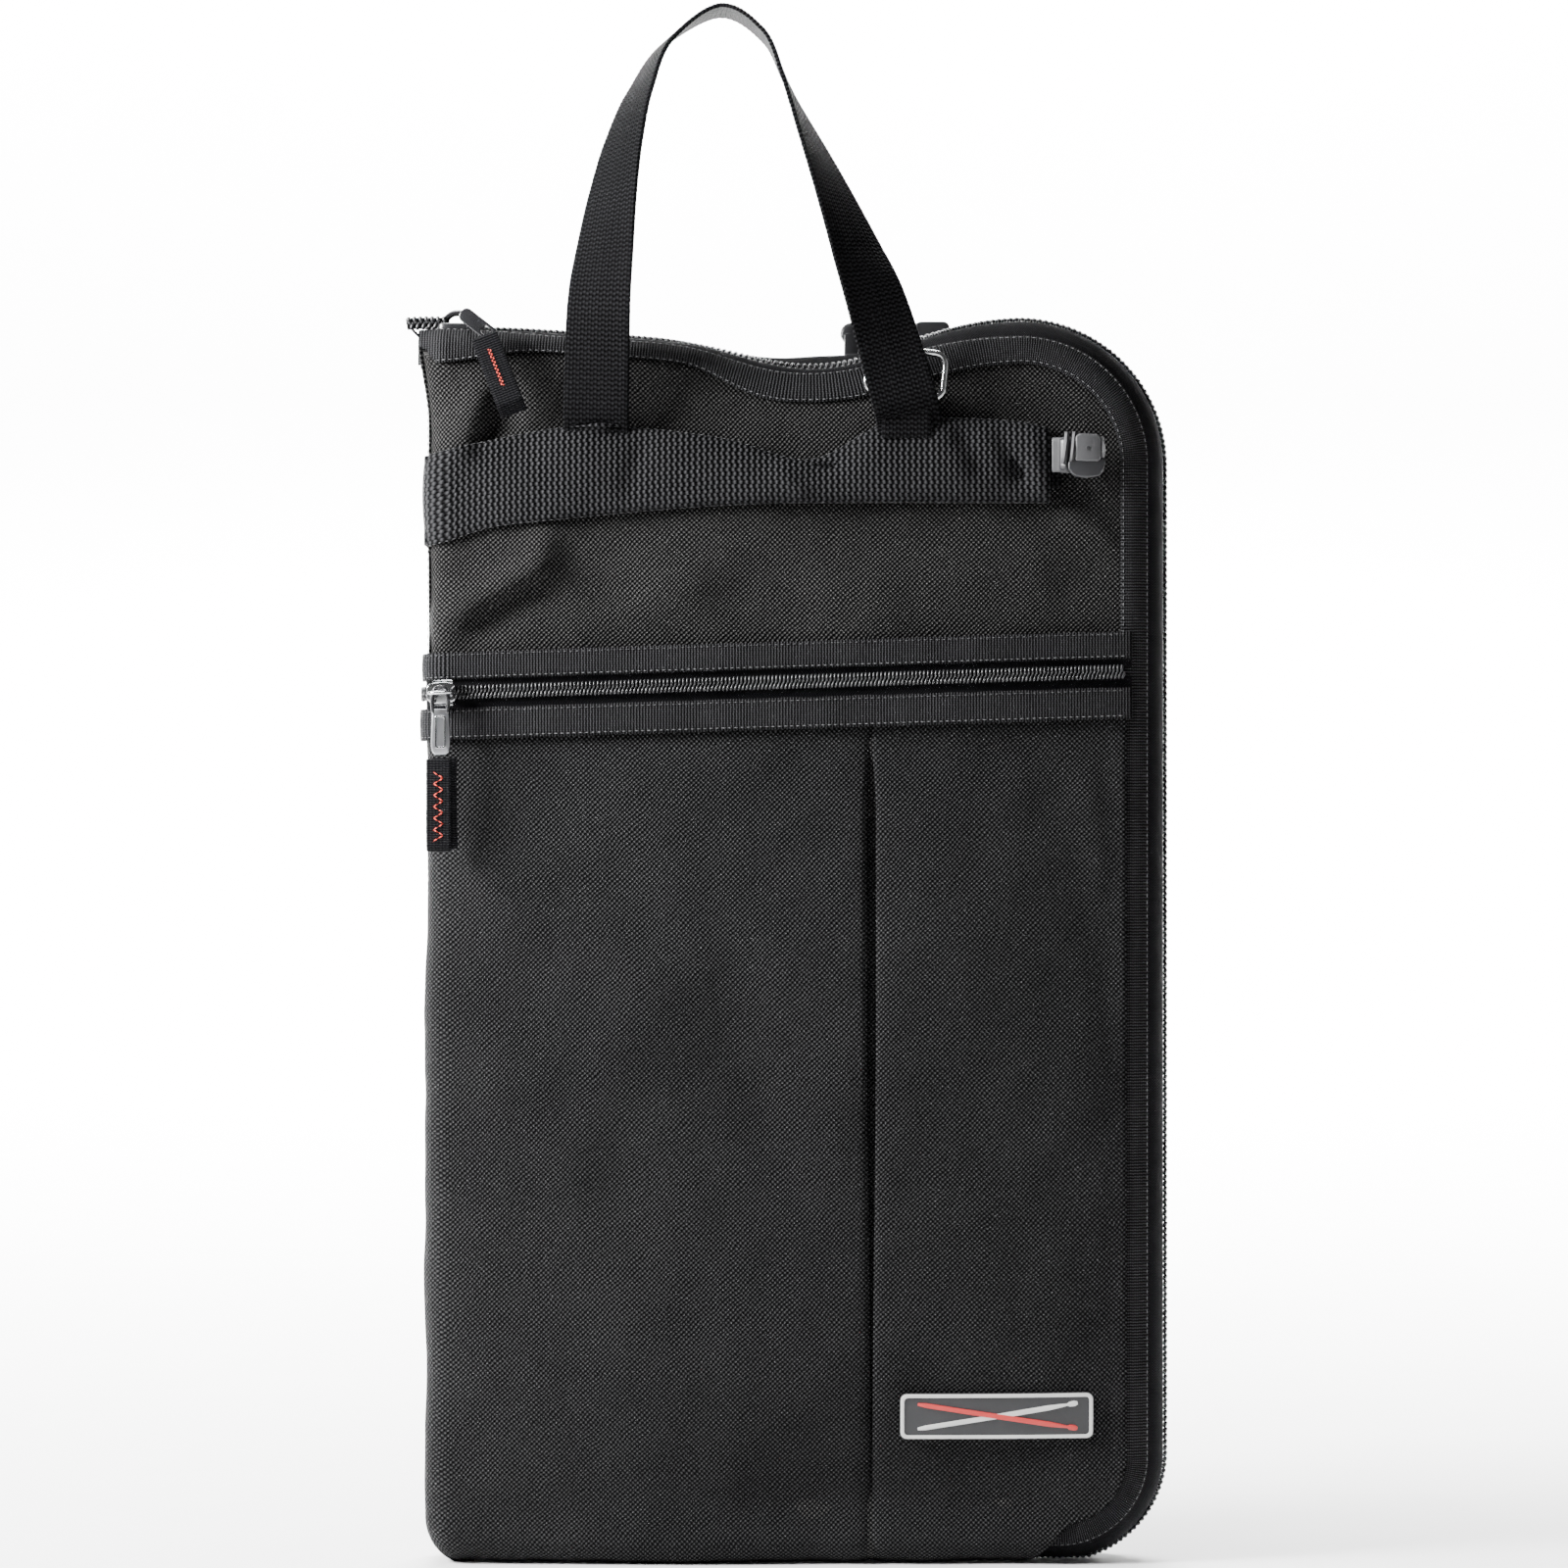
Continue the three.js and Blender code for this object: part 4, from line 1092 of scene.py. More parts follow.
def spine_pieces():
    spine_strip("spine_cloth", 10.5, (-2, 473), 1.3, 1.0, SHELL, ["spine_gusset"])
    spine_strip("spine_web", 12.5, (396, 430.5), 2.9, 1.3, BAND_WEB, ["spine_band"])
    turn = CORNER_START - CORNER_LENGTH - (HALF - SPINE_RADIUS)
    places = []
    v = np.linspace(8, 470, 200)
    for offset in (-9.2, 9.2):
        u = np.full(len(v), turn + offset)
        line = case_point(u, v, 1.35)
        places += stitch_row(line, line - case_point(u, v, -3), 3.0, 0.1)
    row = scatter("spine_thread", places, BLACK_THREAD, 1.1, 0.22, 0.18)
    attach(row, "spine")


HANDLE_STATIONS = [
    (-78.3, -29.6, 442, 0), (-78, -31, 462, 3), (-76.9, -31, 488, 14), (-74.5, -25, 513, 30),
    (-72, -18.5, 533, 42), (-68.4, -11, 553, 53), (-62.3, -3.5, 574, 66), (-52, 5, 594, 80),
    (-31, 12, 608, 90), (-14, 10, 598, 90), (-4.6, 3.5, 578, 86), (5.9, -6, 553, 70),
    (13.9, -14, 533, 57), (21.7, -22, 512, 42), (29.5, -29.0, 490, 23), (37.5, -32, 464, 3),
    (43, -29.6, 442, 0),
]
HANDLE_FOOT_Z = 442
WEBBING, WEBBING_T = 25.4, 1.6


def woven_strap(name, stations, side, node):
    """A handle of ribbed webbing. Its ribs are in the mesh."""
    line = spline(stations, 60)
    path = Path(line[:, :3])
    rib = 1.9
    s = path.steps(rib / 4)
    points = path.at(s)
    turn = np.radians(np.interp(s, path.places, line[:, 3]))
    along = path.tangent(s)
    face = np.stack([-along[:, 2] * np.sin(turn), side * np.cos(turn), along[:, 0] * np.sin(turn)], -1)
    section = slab_section(WEBBING, WEBBING_T, 28)
    rings = sweep(points, face, section)
    _, _, out = frames_along(points, face)
    way = np.sign(section[:, 1]) * np.clip(np.abs(section[:, 1]) / (WEBBING_T / 2), 0, 1)
    column = np.sign(np.sin(np.pi * section[:, 0] / 1.4))
    ribs = np.cos(2 * np.pi * s[:, None] / rib + 0.5 * np.pi * column[None, :])
    groove = np.abs(np.sin(np.pi * section[:, 0] / 1.4))[None, :]
    rings = rings + out[:, None] * (way[None, :] * (0.11 * ribs + 0.1 * groove))[..., None]
    piece = tube(name, rings, HANDLE_WEB, cloth=strap_cloth(points, section))
    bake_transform(piece)
    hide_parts(node)
    return piece


def handles():
    near_foot = [(-78.5, -20.6, 428, 0), (-78.3, -21.8, 440, 0), (-78.1, -25.6, 451, 1)]
    far_foot = [(39.6, -29.4, 455, 3), (42.4, -24.4, 444, 0), (43.2, -20.8, 432, 0)]
    tucked = [*near_foot, *HANDLE_STATIONS[2:-2], *far_foot]
    woven_strap("front_handle_webbing", tucked, -1, "front_handle_strap")
    hanging = []
    for x, _, z, turn in HANDLE_STATIONS:
        out = 31 + 11 * math.sin(math.radians(turn)) ** 2
        hanging.append((x, out, 2 * HANDLE_FOOT_Z - z, -turn))
    hanging[0] = (-78.3, 29.6, 442, 0)
    hanging[-1] = (43, 29.6, 442, 0)
    woven_strap("back_handle_webbing", hanging, 1, "back_handle_strap")


# ---- sliders and pulls ----------------------------------------------------------------------


def ride_as(piece, body, nodes=()):
    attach(piece, body)
    if nodes:
        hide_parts(*nodes)
    return piece


def bar(name, points, facing, width, thickness, material, across=6):
    """A flat bar bent along points."""
    line = spline(points, 10)
    return tube(name, sweep(line, facing, slab_section(width, thickness, across)), material)


def wire(name, points, radius, material, facing=(0, 0.3, 1), sides=12):
    line = spline(points, 8)
    return tube(name, sweep(line, facing, circle(radius, sides)), material)


def wire_loop(name, outline, radius, material, tilt=None, sides=12):
    """Round wire bent into a closed outline in x and z, at a y, then tilted about the y axis."""
    points = np.asarray(outline, float)
    along = unit(np.roll(points, -1, 0) - np.roll(points, 1, 0))
    side = np.broadcast_to(np.array([0, 1.0, 0]), points.shape)
    out = np.cross(along, side)
    ring = circle(radius, sides)
    rings = points[:, None] + side[:, None] * ring[None, :, 0, None] + out[:, None] * ring[None, :, 1, None]
    if tilt:
        angle, centre = math.radians(tilt[0]), np.array(tilt[1], float)
        c, s = math.cos(angle), math.sin(angle)
        shift = rings - centre
        turned = np.stack([shift[..., 0] * c - shift[..., 2] * s, shift[..., 1],
                           shift[..., 0] * s + shift[..., 2] * c], -1)
        rings = centre + turned
    return closed_tube(name, rings, material)


def main_slider():
    low, high = node_box("main_slider")
    base, top = low[2] + 1.4, low[2] + 4.8
    half = (high[1] - low[1]) / 2
    x0, x1 = low[0] - 1.0, high[0] + 0.5
    waist = [(x0, 2.6), (x0 + 3, half), (x0 + 9, half), (x1 - 2, 3.4), (x1, 2.4)]
    outline = [*waist, *((x, -y) for x, y in reversed(waist))]
    outline = [tuple(p) for p in spline(outline + outline[:1], 5)[:-1]]
    body = plate("slider_body", outline, (base, top), ENAMEL, 1.3)
    for vert in body.data.vertices:
        vert.co = (vert.co.x, vert.co.z, vert.co.y)
    body.data.flip_normals()
    ride_as(body, "main_slider", ["main_slider"])
    bridge = [(x0 + 1.8, 0, top - 0.8), (x0 + 2.6, 0, top + 1.6), (x0 + 6.0, 0, top + 4.0),
              (x0 + 10.5, 0, top + 3.8),
              (x0 + 15.2, 0, top + 2.0), (x0 + 17.4, 0, top - 0.8)]
    arch = bar("slider_bridge", bridge, (0, 1, 0), 2.6, 3.8, ENAMEL)
    ride_as(arch, "main_slider")


def local_frame(origin, degrees):
    c, s = math.cos(math.radians(degrees)), math.sin(math.radians(degrees))
    return lambda a, b: (origin[0] + a * c - b * s, origin[1] + a * s + b * c)


def zigzag(points_of, start, end, step, reach, out, material, name, body):
    """A line of zigzag stitching between two places along a tab."""
    places = []
    a = start
    sign = 1
    while a < end:
        one, two = np.array(points_of(a, -reach * sign)), np.array(points_of(a + step, reach * sign))
        for k in (0.25, 0.75):
            places.append((mix(one, two, k) + np.array(out) * 0.15, unit(two - one), np.array(out, float)))
        a, sign = a + step, -sign
    half = math.hypot(step, 2 * reach) / 4
    row = scatter(name, places, material, half, 0.28, 0.22)
    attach(row, body)
    return row


def main_pull():
    pivot_x, _, pivot_z = np.array(joint("main_pull_swing")["pos_m"]) / MM
    along_link = local_frame((pivot_x, pivot_z), -38)
    place = local_frame((pivot_x + 3.2, pivot_z + 1.2), -69)
    front = node_box("main_pull_tab")[0][1]
    pin = wire("pull_pin", [(pivot_x, front + 0.4, pivot_z), (pivot_x, front + 12, pivot_z),
                            (pivot_x, 3, pivot_z)],
               1.25, ENAMEL, (0, 0, 1))
    ride_as(pin, "main_pull", ["main_pull"])
    link = [along_link(a, b) for a, b in rounded(-3, 13.4, -2.9, 2.9, 2.4)]
    hole = [along_link(a, b) for a, b in rounded(7.2, 11.6, -1.6, 1.6, 1.2)]
    plate_piece = plate("pull_link", link, (front + 0.2, front + 1.8), ENAMEL, 0.35, holes=[hole])
    ride_as(plate_piece, "main_pull")

    a = np.linspace(9.4, 41.5, 60)
    xz = np.array([place(value, 0) for value in a])
    near = front - 0.5 - 0.5 * np.sin(np.pi * (a - 9.4) / 32)
    curl = 2.6 * smooth(a, 36, 41.5)
    layer = np.stack([xz[:, 0], near + curl, xz[:, 1]], -1)
    section = slab_section(10.6, 1.1, 14)
    tab = webbing("pull_tab_front", layer, (0, -1, 0), section, TAB_WEB)
    ride_as(tab, "main_pull", ["main_pull_tab"])
    behind = np.stack([xz[:, 0], np.maximum(near + 2.3, near + curl + 0.9 - 0.6 * smooth(a, 36, 41.5)),
                       xz[:, 1]], -1)
    behind = behind[a < 38]
    back_layer = webbing("pull_tab_back", behind, (0, -1, 0), section, TAB_WEB)
    ride_as(back_layer, "main_pull")

    def on_tab(t, b):
        x, z = place(t, b)
        return x, front - 1.25 - 0.4 * math.sin(math.pi * (t - 9.4) / 32), z
    zigzag(on_tab, 15, 30, 0.8, 0.7, (0, -1, 0), RED_THREAD, "pull_tab_stitch", "main_pull")


def pocket_slider():
    low, high = node_box("pocket_slider")
    cx, cz = (low[0] + high[0]) / 2, (low[2] + high[2]) / 2
    place = local_frame((cx, cz), math.degrees(POCKET_SLOPE))
    half = [(-5.6, 2.2), (-4.6, 3.4), (-2.5, 4.1), (1.6, 4.3), (4.6, 3.6), (5.5, 2.6), (4.2, 1.3),
            (3.4, 0.45)]
    outline = half + [(a, -b) for a, b in reversed(half)]
    body = plate("pocket_slider_body", [place(*p) for p in outline], (low[1] + 5.8, low[1] + 7.2),
                 CHROME, 0.45)
    ride_as(body, "pocket_slider", ["pocket_slider"])
    face_y = low[1] + 5.8
    for word, sign in (("upper", 1), ("lower", -1)):
        line = [(*place(a, sign * 4.1), face_y + depth) for a,
                depth in ((-3.6, 0.5), (-1, 0.9), (2.5, 0.9), (4.6, 0.5))]
        flange = bar("pocket_slider_flange_" + word, [(x, y + 1.2, z) for x, z, y in line], (0, -1, 0),
                     0.9, 2.6, CHROME)
        ride_as(flange, "pocket_slider")
    crest = low[1] + 1.0
    arch = [(*place(-4.0, 0), face_y + 0.3), (*place(-3.7, 0), crest + 1.4), (*place(-1.5, 0), crest),
            (*place(2.0, 0), crest + 0.2), (*place(3.9, 0), crest + 1.8), (*place(4.3, 0), face_y + 0.3)]
    bridge = bar("pocket_slider_bridge", [(x, y, z) for x, z, y in arch], (0, 0, 1), 2.2, 1.5, CHROME)
    ride_as(bridge, "pocket_slider")


def pocket_pull():
    low, high = node_box("pocket_pull")
    cx, cy = (low[0] + high[0]) / 2, -29.8
    top = high[2]
    loop = [(cx - 2.6, cy, top - 10.4), (cx - 3.1, cy, top - 5.5), (cx - 2.2, cy, top - 1.2),
            (cx, cy, top - 0.3),
            (cx + 2.2, cy, top - 1.2), (cx + 3.1, cy, top - 5.5), (cx + 2.6, cy, top - 10.4)]
    ring = wire("pocket_pull_loop", loop, 0.8, ENAMEL, (0, 1, 0))
    ride_as(ring, "pocket_pull", ["pocket_pull"])
    bottom = low[2]
    plate_top = top - 8.6
    half = [(2.5, plate_top), (3.2, plate_top - 2.2), (3.7, bottom + 4.5), (3.2, bottom + 1.2),
            (2.0, bottom)]
    outline = [(cx + a, z) for a, z in half] + [(cx - a, z) for a, z in reversed(half)]
    body = plate("pocket_pull_plate", outline, (cy - 0.7, cy + 0.7), NICKEL, 0.4)
    ride_as(body, "pocket_pull")
    inner = rounded(cx - 2.1, cx + 2.1, bottom + 2.4, plate_top - 2.6, 0.9)
    window = rounded(cx - 1.35, cx + 1.35, bottom + 3.2, plate_top - 3.4, 0.5)
    frame_piece = plate("pocket_pull_frame", inner, (cy - 1.0, cy - 0.5), CHROME, 0.18, holes=[window])
    ride_as(frame_piece, "pocket_pull")
    pocket_tab()


def pocket_tab():
    low, high = node_box("pocket_pull_tab")
    cx = (low[0] + high[0]) / 2
    top, bottom = high[2] + 0.3, low[2]
    z = np.linspace(top, bottom + 1.2, 50)
    t = (top - z) / (top - bottom)
    y_front = low[1] + 0.4 - 0.5 * np.sin(np.pi * t) + 1.5 * smooth(t, 0.9, 1.0)
    front = np.stack([cx - 0.6 + 0 * z, y_front, z], -1)
    section = slab_section(9.6, 1.0, 12)
    layer = webbing("pocket_tab_front", front, (0, -1, 0), section, TAB_WEB)
    ride_as(layer, "pocket_tab", ["pocket_pull_tab"])
    back = np.stack([cx + 1.3 + 0.6 * t, y_front + 1.7 - 0.5 * smooth(t, 0.8, 1), z + 0.6], -1)
    second = webbing("pocket_tab_back", back, (0.12, -1, 0), section, TAB_WEB)
    ride_as(second, "pocket_tab")

    def on_tab(a, b):
        share = a / (top - bottom)
        return cx - 0.6 + b, low[1] - 0.25 - 0.5 * math.sin(math.pi * min(share, 1)), top - a
    zigzag(on_tab, 5, 31, 2.2, 1.9, (0, -1, 0), RED_THREAD, "pocket_tab_stitch", "pocket_tab")


# ---- hooks, ring and label ------------------------------------------------------------------


def front_ring():
    low, high = node_box("front_ring")
    y = (low[1] + high[1]) / 2
    inset = 1.5
    outline = [(x, y, z) for x, z in rounded(low[0] + inset, high[0] - inset, low[2] + inset,
                                             high[2] - inset, 4.5, 9)]
    dense = Path(outline + outline[:1])
    s = np.linspace(0, dense.length, 120, endpoint=False)
    centre = ((low[0] + high[0]) / 2, y, (low[2] + high[2]) / 2)
    ring = wire_loop("ring_wire", dense.at(s), 1.35, CHROME, (-6, centre))
    ride_as(ring, "front_ring", ["front_ring"])
    low, high = node_box("ring_loop")
    z = high[2] - 1.6
    fold = [(0, y - 1.9, low[2] - 4), (0, y - 2.6, z - 8), (0, y - 2.7, z - 1), (0, y - 0.6, z + 1.7),
            (0, y + 1.9, z + 0.8), (0, y + 2.4, z - 3), (0, y + 1.6, z - 9), (0, y + 0.6, low[2] - 4)]
    line = spline([((low[0] + high[0]) / 2, a[1], a[2]) for a in fold], 10)
    section = slab_section(high[0] - low[0], 1.1, 16)
    facing = np.cross(np.gradient(line, axis=0), np.array([-1.0, 0, 0]))
    loop = webbing("ring_tab", line, unit(facing), section, HANDLE_WEB)
    ride_as(loop, "front_cover", ["ring_loop"])


def front_hook():
    low, high = node_box("front_hook_clip")
    x0, x1, z0, z1 = low[0], high[0], low[2], high[2]
    middle = (z0 + z1) / 2 + 1
    y_face = low[1]
    neck = bar("hook_neck", [(x0 - 1, y_face + 6.6, middle), (x0 + 2.5, y_face + 5.2, middle),
                             (x0 + 4.6, y_face + 2.6, middle)],
               (0, -1, 0), 13.5, 2.0, GREY_PLASTIC, 10)
    ride_as(neck, "front_hook", ["front_hook_clip"])
    for k in range(2):
        x = x0 + 3.4 + 2.9 * k
        ridge_line = [(x - 0.6, y_face + 2.4, z0 + 6.5), (x, y_face + 1.1, middle),
                      (x + 0.9, y_face + 2.0, z1 + 0.4)]
        rib = bar("hook_ridge_%d" % (k + 1), ridge_line, (0, -1, 0), 2.1, 2.4, GREY_PLASTIC)
        ride_as(rib, "front_hook")
    face = [(x0 + 7.4, z0 + 7.4), (x0 + 7.4, z1 - 1.2), (x0 + 9, z1), (x1 - 3, z1 - 0.4),
            (x1 - 1.4, z1 - 2),
            (x1 - 1.6, z0 + 8.4), (x1 - 3, z0 + 7)]
    front = plate("hook_face", face, (y_face + 0.2, y_face + 2.2), GREY_PLASTIC, 0.7)
    ride_as(front, "front_hook")
    edge = bar("hook_rim", [(x1 - 1.1, y_face + 1.4, z0 + 8.6), (x1 - 0.7, y_face + 1.0, middle + 2),
                            (x1 - 1.3, y_face + 1.5, z1 - 1.4)],
               (0.5, -1, 0), 1.5, 1.5, GREY_PLASTIC)
    ride_as(edge, "front_hook")
    # Painted shadow: this black plate under the hook's face stands in for the hook's shadow on the cloth
    # below it.
    under = [(x0 + 4.5, z0 + 4.2), (x0 + 6, z0 + 8.2), (x1 - 1.2, z0 + 8.6), (x1 - 0.4, z0 + 5),
             (x1 - 3, z0 + 1.4), (x0 + 8, z0 + 1.2)]
    painted_shadow = plate("hook_belly", [tuple(p) for p in spline(under + under[:1], 6)[:-1]],
                  (y_face + 0.9, y_face + 4.4), BLACK_PLASTIC, 1.1)
    ride_as(painted_shadow, "front_hook")
    back = plate("hook_back", rounded(x0 + 0.4, x1 - 3, z0 + 3, z1 - 1, 2.2),
                 (high[1] - 1.9, high[1] - 0.2), BLACK_PLASTIC, 0.6)
    ride_as(back, "front_hook")
    bend = bar("hook_bend", [(x0 + 3.4, high[1] - 1, middle), (x0 + 2.2, (y_face + high[1]) / 2, middle),
                             (x0 + 4.2, y_face + 2.2, middle)],
               (-1, 0, 0), 12.5, 2.0, BLACK_PLASTIC, 10)
    ride_as(bend, "front_hook")
    stud = plate("hook_stud", [(x0 + 12.2 + 0.75 * math.cos(a), middle + 2.2 + 0.75 * math.sin(a))
                               for a in np.linspace(0, 2 * math.pi, 12, endpoint=False)],
                 (y_face - 0.15, y_face + 0.5), BLACK_PLASTIC, 0.15)
    ride_as(stud, "front_hook")
    low, high = node_box("front_hook_strap")
    x = np.linspace(low[0], high[0] + 2.5, 120)
    inside = smooth(-x, -70, -38)
    line = np.stack([x, 0 * x + (low[1] + high[1]) / 2, (low[2] + high[2]) / 2 - 4.6 * inside], -1)
    section = slab_section(high[2] - low[2] - 0.4, 1.3, 16)
    rings = sweep(line, (0, -1, 0), section, 1 - 0.14 * inside)
    strap = tube("hook_webbing", rings, HANDLE_WEB, cloth=strap_cloth(line, section))
    ride_as(strap, "front_hook", ["front_hook_strap"])


def back_hook():
    low, high = node_box("back_hook_clip")
    y0 = low[1]
    base = plate("back_hook_base", rounded(low[0], high[0], low[2], low[2] + 12, 3), (y0, y0 + 2.2),
                 BLACK_PLASTIC, 0.6)
    ride_as(base, "back_hook", ["back_hook_clip"])
    wing = plate("back_hook_wing", rounded(46.3, high[0], low[2] + 9, high[2] + 0.4, 2.4),
                 (y0 + 0.1, y0 + 2.3), BLACK_PLASTIC, 0.6)
    ride_as(wing, "back_hook")
    lip = bar("back_hook_lip", [(46.8, y0 + 4.6, high[2] - 1), (53, y0 + 5.2, high[2] - 0.6),
                                (59.4, y0 + 4.6, high[2] - 1)],
              (0, 0, 1), 7.0, 2.0, BLACK_PLASTIC, 8)
    ride_as(lip, "back_hook")
    knob_z = 482
    turn = np.linspace(0, 1, 24)
    girth = 4.3 * np.sqrt(np.clip(1 - (2 * turn - 1) ** 6, 0.02, 1))
    line = np.stack([21 + 0 * turn, mix(y0 + 0.6, y0 + 7.2, turn), knob_z + 0 * turn], -1)
    ring = circle(1.0, 20)
    rings = np.stack([line[:, None, 0] + girth[:, None] * ring[None, :, 0],
                      line[:, None, 1] + 0 * ring[None, :, 0],
                      line[:, None, 2] + girth[:, None] * ring[None, :, 1]], -1)
    knob = tube("back_hook_knob", rings[:, ::-1], BLACK_PLASTIC)
    ride_as(knob, "back_hook")
    neck = plate("back_hook_neck", rounded(18.2, 23.8, low[2] + 9, knob_z, 1.2), (y0 + 0.2, y0 + 3.2),
                 BLACK_PLASTIC, 0.5)
    ride_as(neck, "back_hook")
    low, high = node_box("back_hook_tab")
    y = (low[1] + high[1]) / 2
    line = spline([(39, y, low[2] - 6), (39, y + 0.3, low[2] + 6), (39, y, high[2] - 0.4)], 20)
    section = slab_section(high[0] - low[0], 1.3, 16)
    tab = webbing("back_hook_webbing", line, (0, 1, 0), section, HANDLE_WEB)
    ride_as(tab, "back_shell", ["back_hook_tab"])


def slice_up(obj, pitch):
    """Cuts a plate along a lattice, so that it can bend."""
    work = bmesh.new()
    work.from_mesh(obj.data)
    xs = [v.co.x for v in work.verts]
    zs = [v.co.z for v in work.verts]
    for axis, values in ((0, xs), (2, zs)):
        for place in np.arange(min(values) + pitch * MM, max(values), pitch * MM):
            at, normal = Vector((0, 0, 0)), Vector((0, 0, 0))
            at[axis], normal[axis] = place, 1
            bmesh.ops.bisect_plane(work, geom=work.verts[:] + work.edges[:] + work.faces[:], plane_co=at,
                                   plane_no=normal)
    work.to_mesh(obj.data)
    work.free()


def onto_pocket(obj, pitch=4.0):
    """Lays a flat plate on the pocket's cloth. Its y is its height over the cloth, downwards."""
    slice_up(obj, pitch)
    co = np.array([v.co for v in obj.data.vertices]) / MM
    u, v = co[:, 0], co[:, 2]
    bulge = swell((u + 11) / 131) * swell((v - 171.5) / 147.5)
    depth = panel_depth(u, v) + 2.0 + 5 * bulge - co[:, 1]
    laid = case_point(u, v, depth) * MM
    obj.data.vertices.foreach_set("co", laid.astype(np.float32).ravel())
    obj.data.update()
    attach(obj, "pocket_flap")


def label_patch():
    low, high = node_box("label_patch")
    x0, x1, z0, z1 = low[0], high[0], low[2], high[2]
    field = plate("patch_field", rounded(x0, x1, z0, z1, 2.6), (-1.7, -0.35), RUBBER, 0.35)
    onto_pocket(field)
    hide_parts("label_patch")
    rim_piece = plate("patch_frame", rounded(x0 + 0.3, x1 - 0.3, z0 + 0.3, z1 - 0.3, 2.4), (-2.1, -1.4),
                      RUBBER_PALE, 0.2,
                      holes=[rounded(x0 + 1.7, x1 - 1.7, z0 + 1.7, z1 - 1.7, 1.4)])
    onto_pocket(rim_piece)
    middle, height = (x0 + x1) / 2, (z0 + z1) / 2
    for word, sign, material in (("left", 1, RUBBER_PALE), ("right", -1, RUBBER_RED)):
        place = local_frame((middle, height), sign * 9)
        half = [(-31, 0.5), (-28, 0.9), (20, 1.0), (25, 0.7), (27.6, 0.45), (28.4, 0.95), (30.4, 1.1),
                (31.6, 0.6)]
        outline = [place(a, b) for a, b in half] + [place(a, -b) for a, b in reversed(half)]
        stick = plate("patch_stick_" + word, outline, (-2.1 - 0.15 * (sign < 0), -1.45), material, 0.15)
        onto_pocket(stick)


# ---- the zip's tail -------------------------------------------------------------------------


def zip_tail():
    """The zip's end sticks out past the spine, its chain turned to the front and its tape folded under."""
    low, high = node_box("zip_tail")
    x0, x1, top = low[0], high[0], high[2] + 4.3
    run = spline([(x1 + 7, -1.0, top), (x1, -1.0, top + 0.1), (x0 + 4, -1.0, top - 0.1),
                  (x0 + 1.6, -1.0, top - 0.5)], 12)
    section = slab_section(4.4, 0.9, 10)
    band = webbing("zip_tail_tape", run, (0, -1, 0), section, ZIP_TAPE)
    ride_as(band, "spine", ["zip_tail"])
    fold = spline([(x0 + 3.6, 0, top - 2.2), (x0 + 6.5, 0, top - 5.0), (x1 - 1, 0, top - 7.8),
                   (x1 + 1.5, 0, top - 9.0)], 10)
    section = slab_section(9.0, 0.9, 10)
    facing = unit(np.cross(np.gradient(fold, axis=0), np.array([0, 1.0, 0])))
    flap = webbing("zip_tail_fold", fold, facing, section, ZIP_TAPE)
    ride_as(flap, "spine")
    path = Path(run)
    for word, side in (("upper", 1), ("lower", -1)):
        s = np.arange(0.8 + (side > 0) * BIG_PITCH / 2, path.length, BIG_PITCH)
        up = np.broadcast_to(np.array([0, -1.0, 0]), (len(s), 3))
        axis = unit(np.array([0, 0, 1.0]) + 0.35 * side * path.tangent(s))
        centre = path.at(s) + np.array([0, -0.9, side * 1.15])
        row = capsules("zip_tail_teeth_" + word, centre, axis, up, 1.5, (0.8, 0.8), NYLON, 8)
        ride_as(row, "spine")


# ---- inside ---------------------------------------------------------------------------------


def lining(name, side, body, nodes):
    s_top = np.linspace(8, TOP_ARC_MIDDLE, 100)
    s_foot = np.linspace(FOOT_TURN_S - 1, FOOT_ARC_MIDDLE, 20)
    near = SPINE_X + 4
    bottom = [*foot_edge(near, FOOT_TURN), *rim(s_foot)]
    bottom = [(u, max(v, 8.0)) for u, v in bottom]
    top = [(near, 466), *rim(s_top)[8:]]
    grid = coons(line_of([bottom[0], top[0]]), line_of(far_rim(TOP_ARC_MIDDLE)), line_of(bottom),
                 line_of(top), 50, 80)
    u, v = grid[..., 0], grid[..., 1]
    ripple = (0.35 * wander(u, v, 30, 15 + side) + 0.2
              * wander(u, v, 11, 31)) * smooth(rim_distance(u, v), 0, 9)
    points = case_point(u, v, panel_depth(u, v) - PAD - 0.9 + ripple, side)
    piece = shell(name, points, 0.5, LINING, cloth=grid, flip=side > 0)
    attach(piece, body)
    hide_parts(*nodes)


def stick_pockets(name, node, sleeves, side, body):
    low, high = node_box(node)
    x = np.linspace(low[0], high[0], 24 * sleeves + 1)
    z = np.linspace(low[2], high[2], 60)
    grid = np.stack(np.meshgrid(x, z, indexing="ij"), -1)
    t = (grid[..., 0] - low[0]) / (high[0] - low[0]) * sleeves
    h = (grid[..., 1] - low[2]) / (high[2] - low[2])
    hump = np.abs(np.sin(np.pi * t)) ** 0.7 * smooth(h, -0.02, 0.1)
    wall, full = (high[1] - 0.6, low[1] + 1.0) if side > 0 else (low[1] + 0.6, high[1] - 1.0)
    y = mix(wall, full, hump * mix(0.72, 1.0, h)) + 0.25 * wander(grid[..., 0], grid[..., 1], 18, 40 + side)
    y = np.clip(y, low[1] + 0.9, high[1] - 0.1) if side > 0 else np.clip(y, low[1] + 0.1, high[1] - 0.9)
    points = np.stack([grid[..., 0], y, grid[..., 1]], -1)
    piece = shell(name, points, 0.8, LINING, cloth=grid, flip=side < 0)
    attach(piece, body)
    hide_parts(node)
    hem_grid = points[:, -5:] + np.array([0, -0.5 * side, 0.3])
    hem = shell(name + "_hem", hem_grid, 1.6, GROSGRAIN, flip=side < 0)
    ride_as(hem, body)


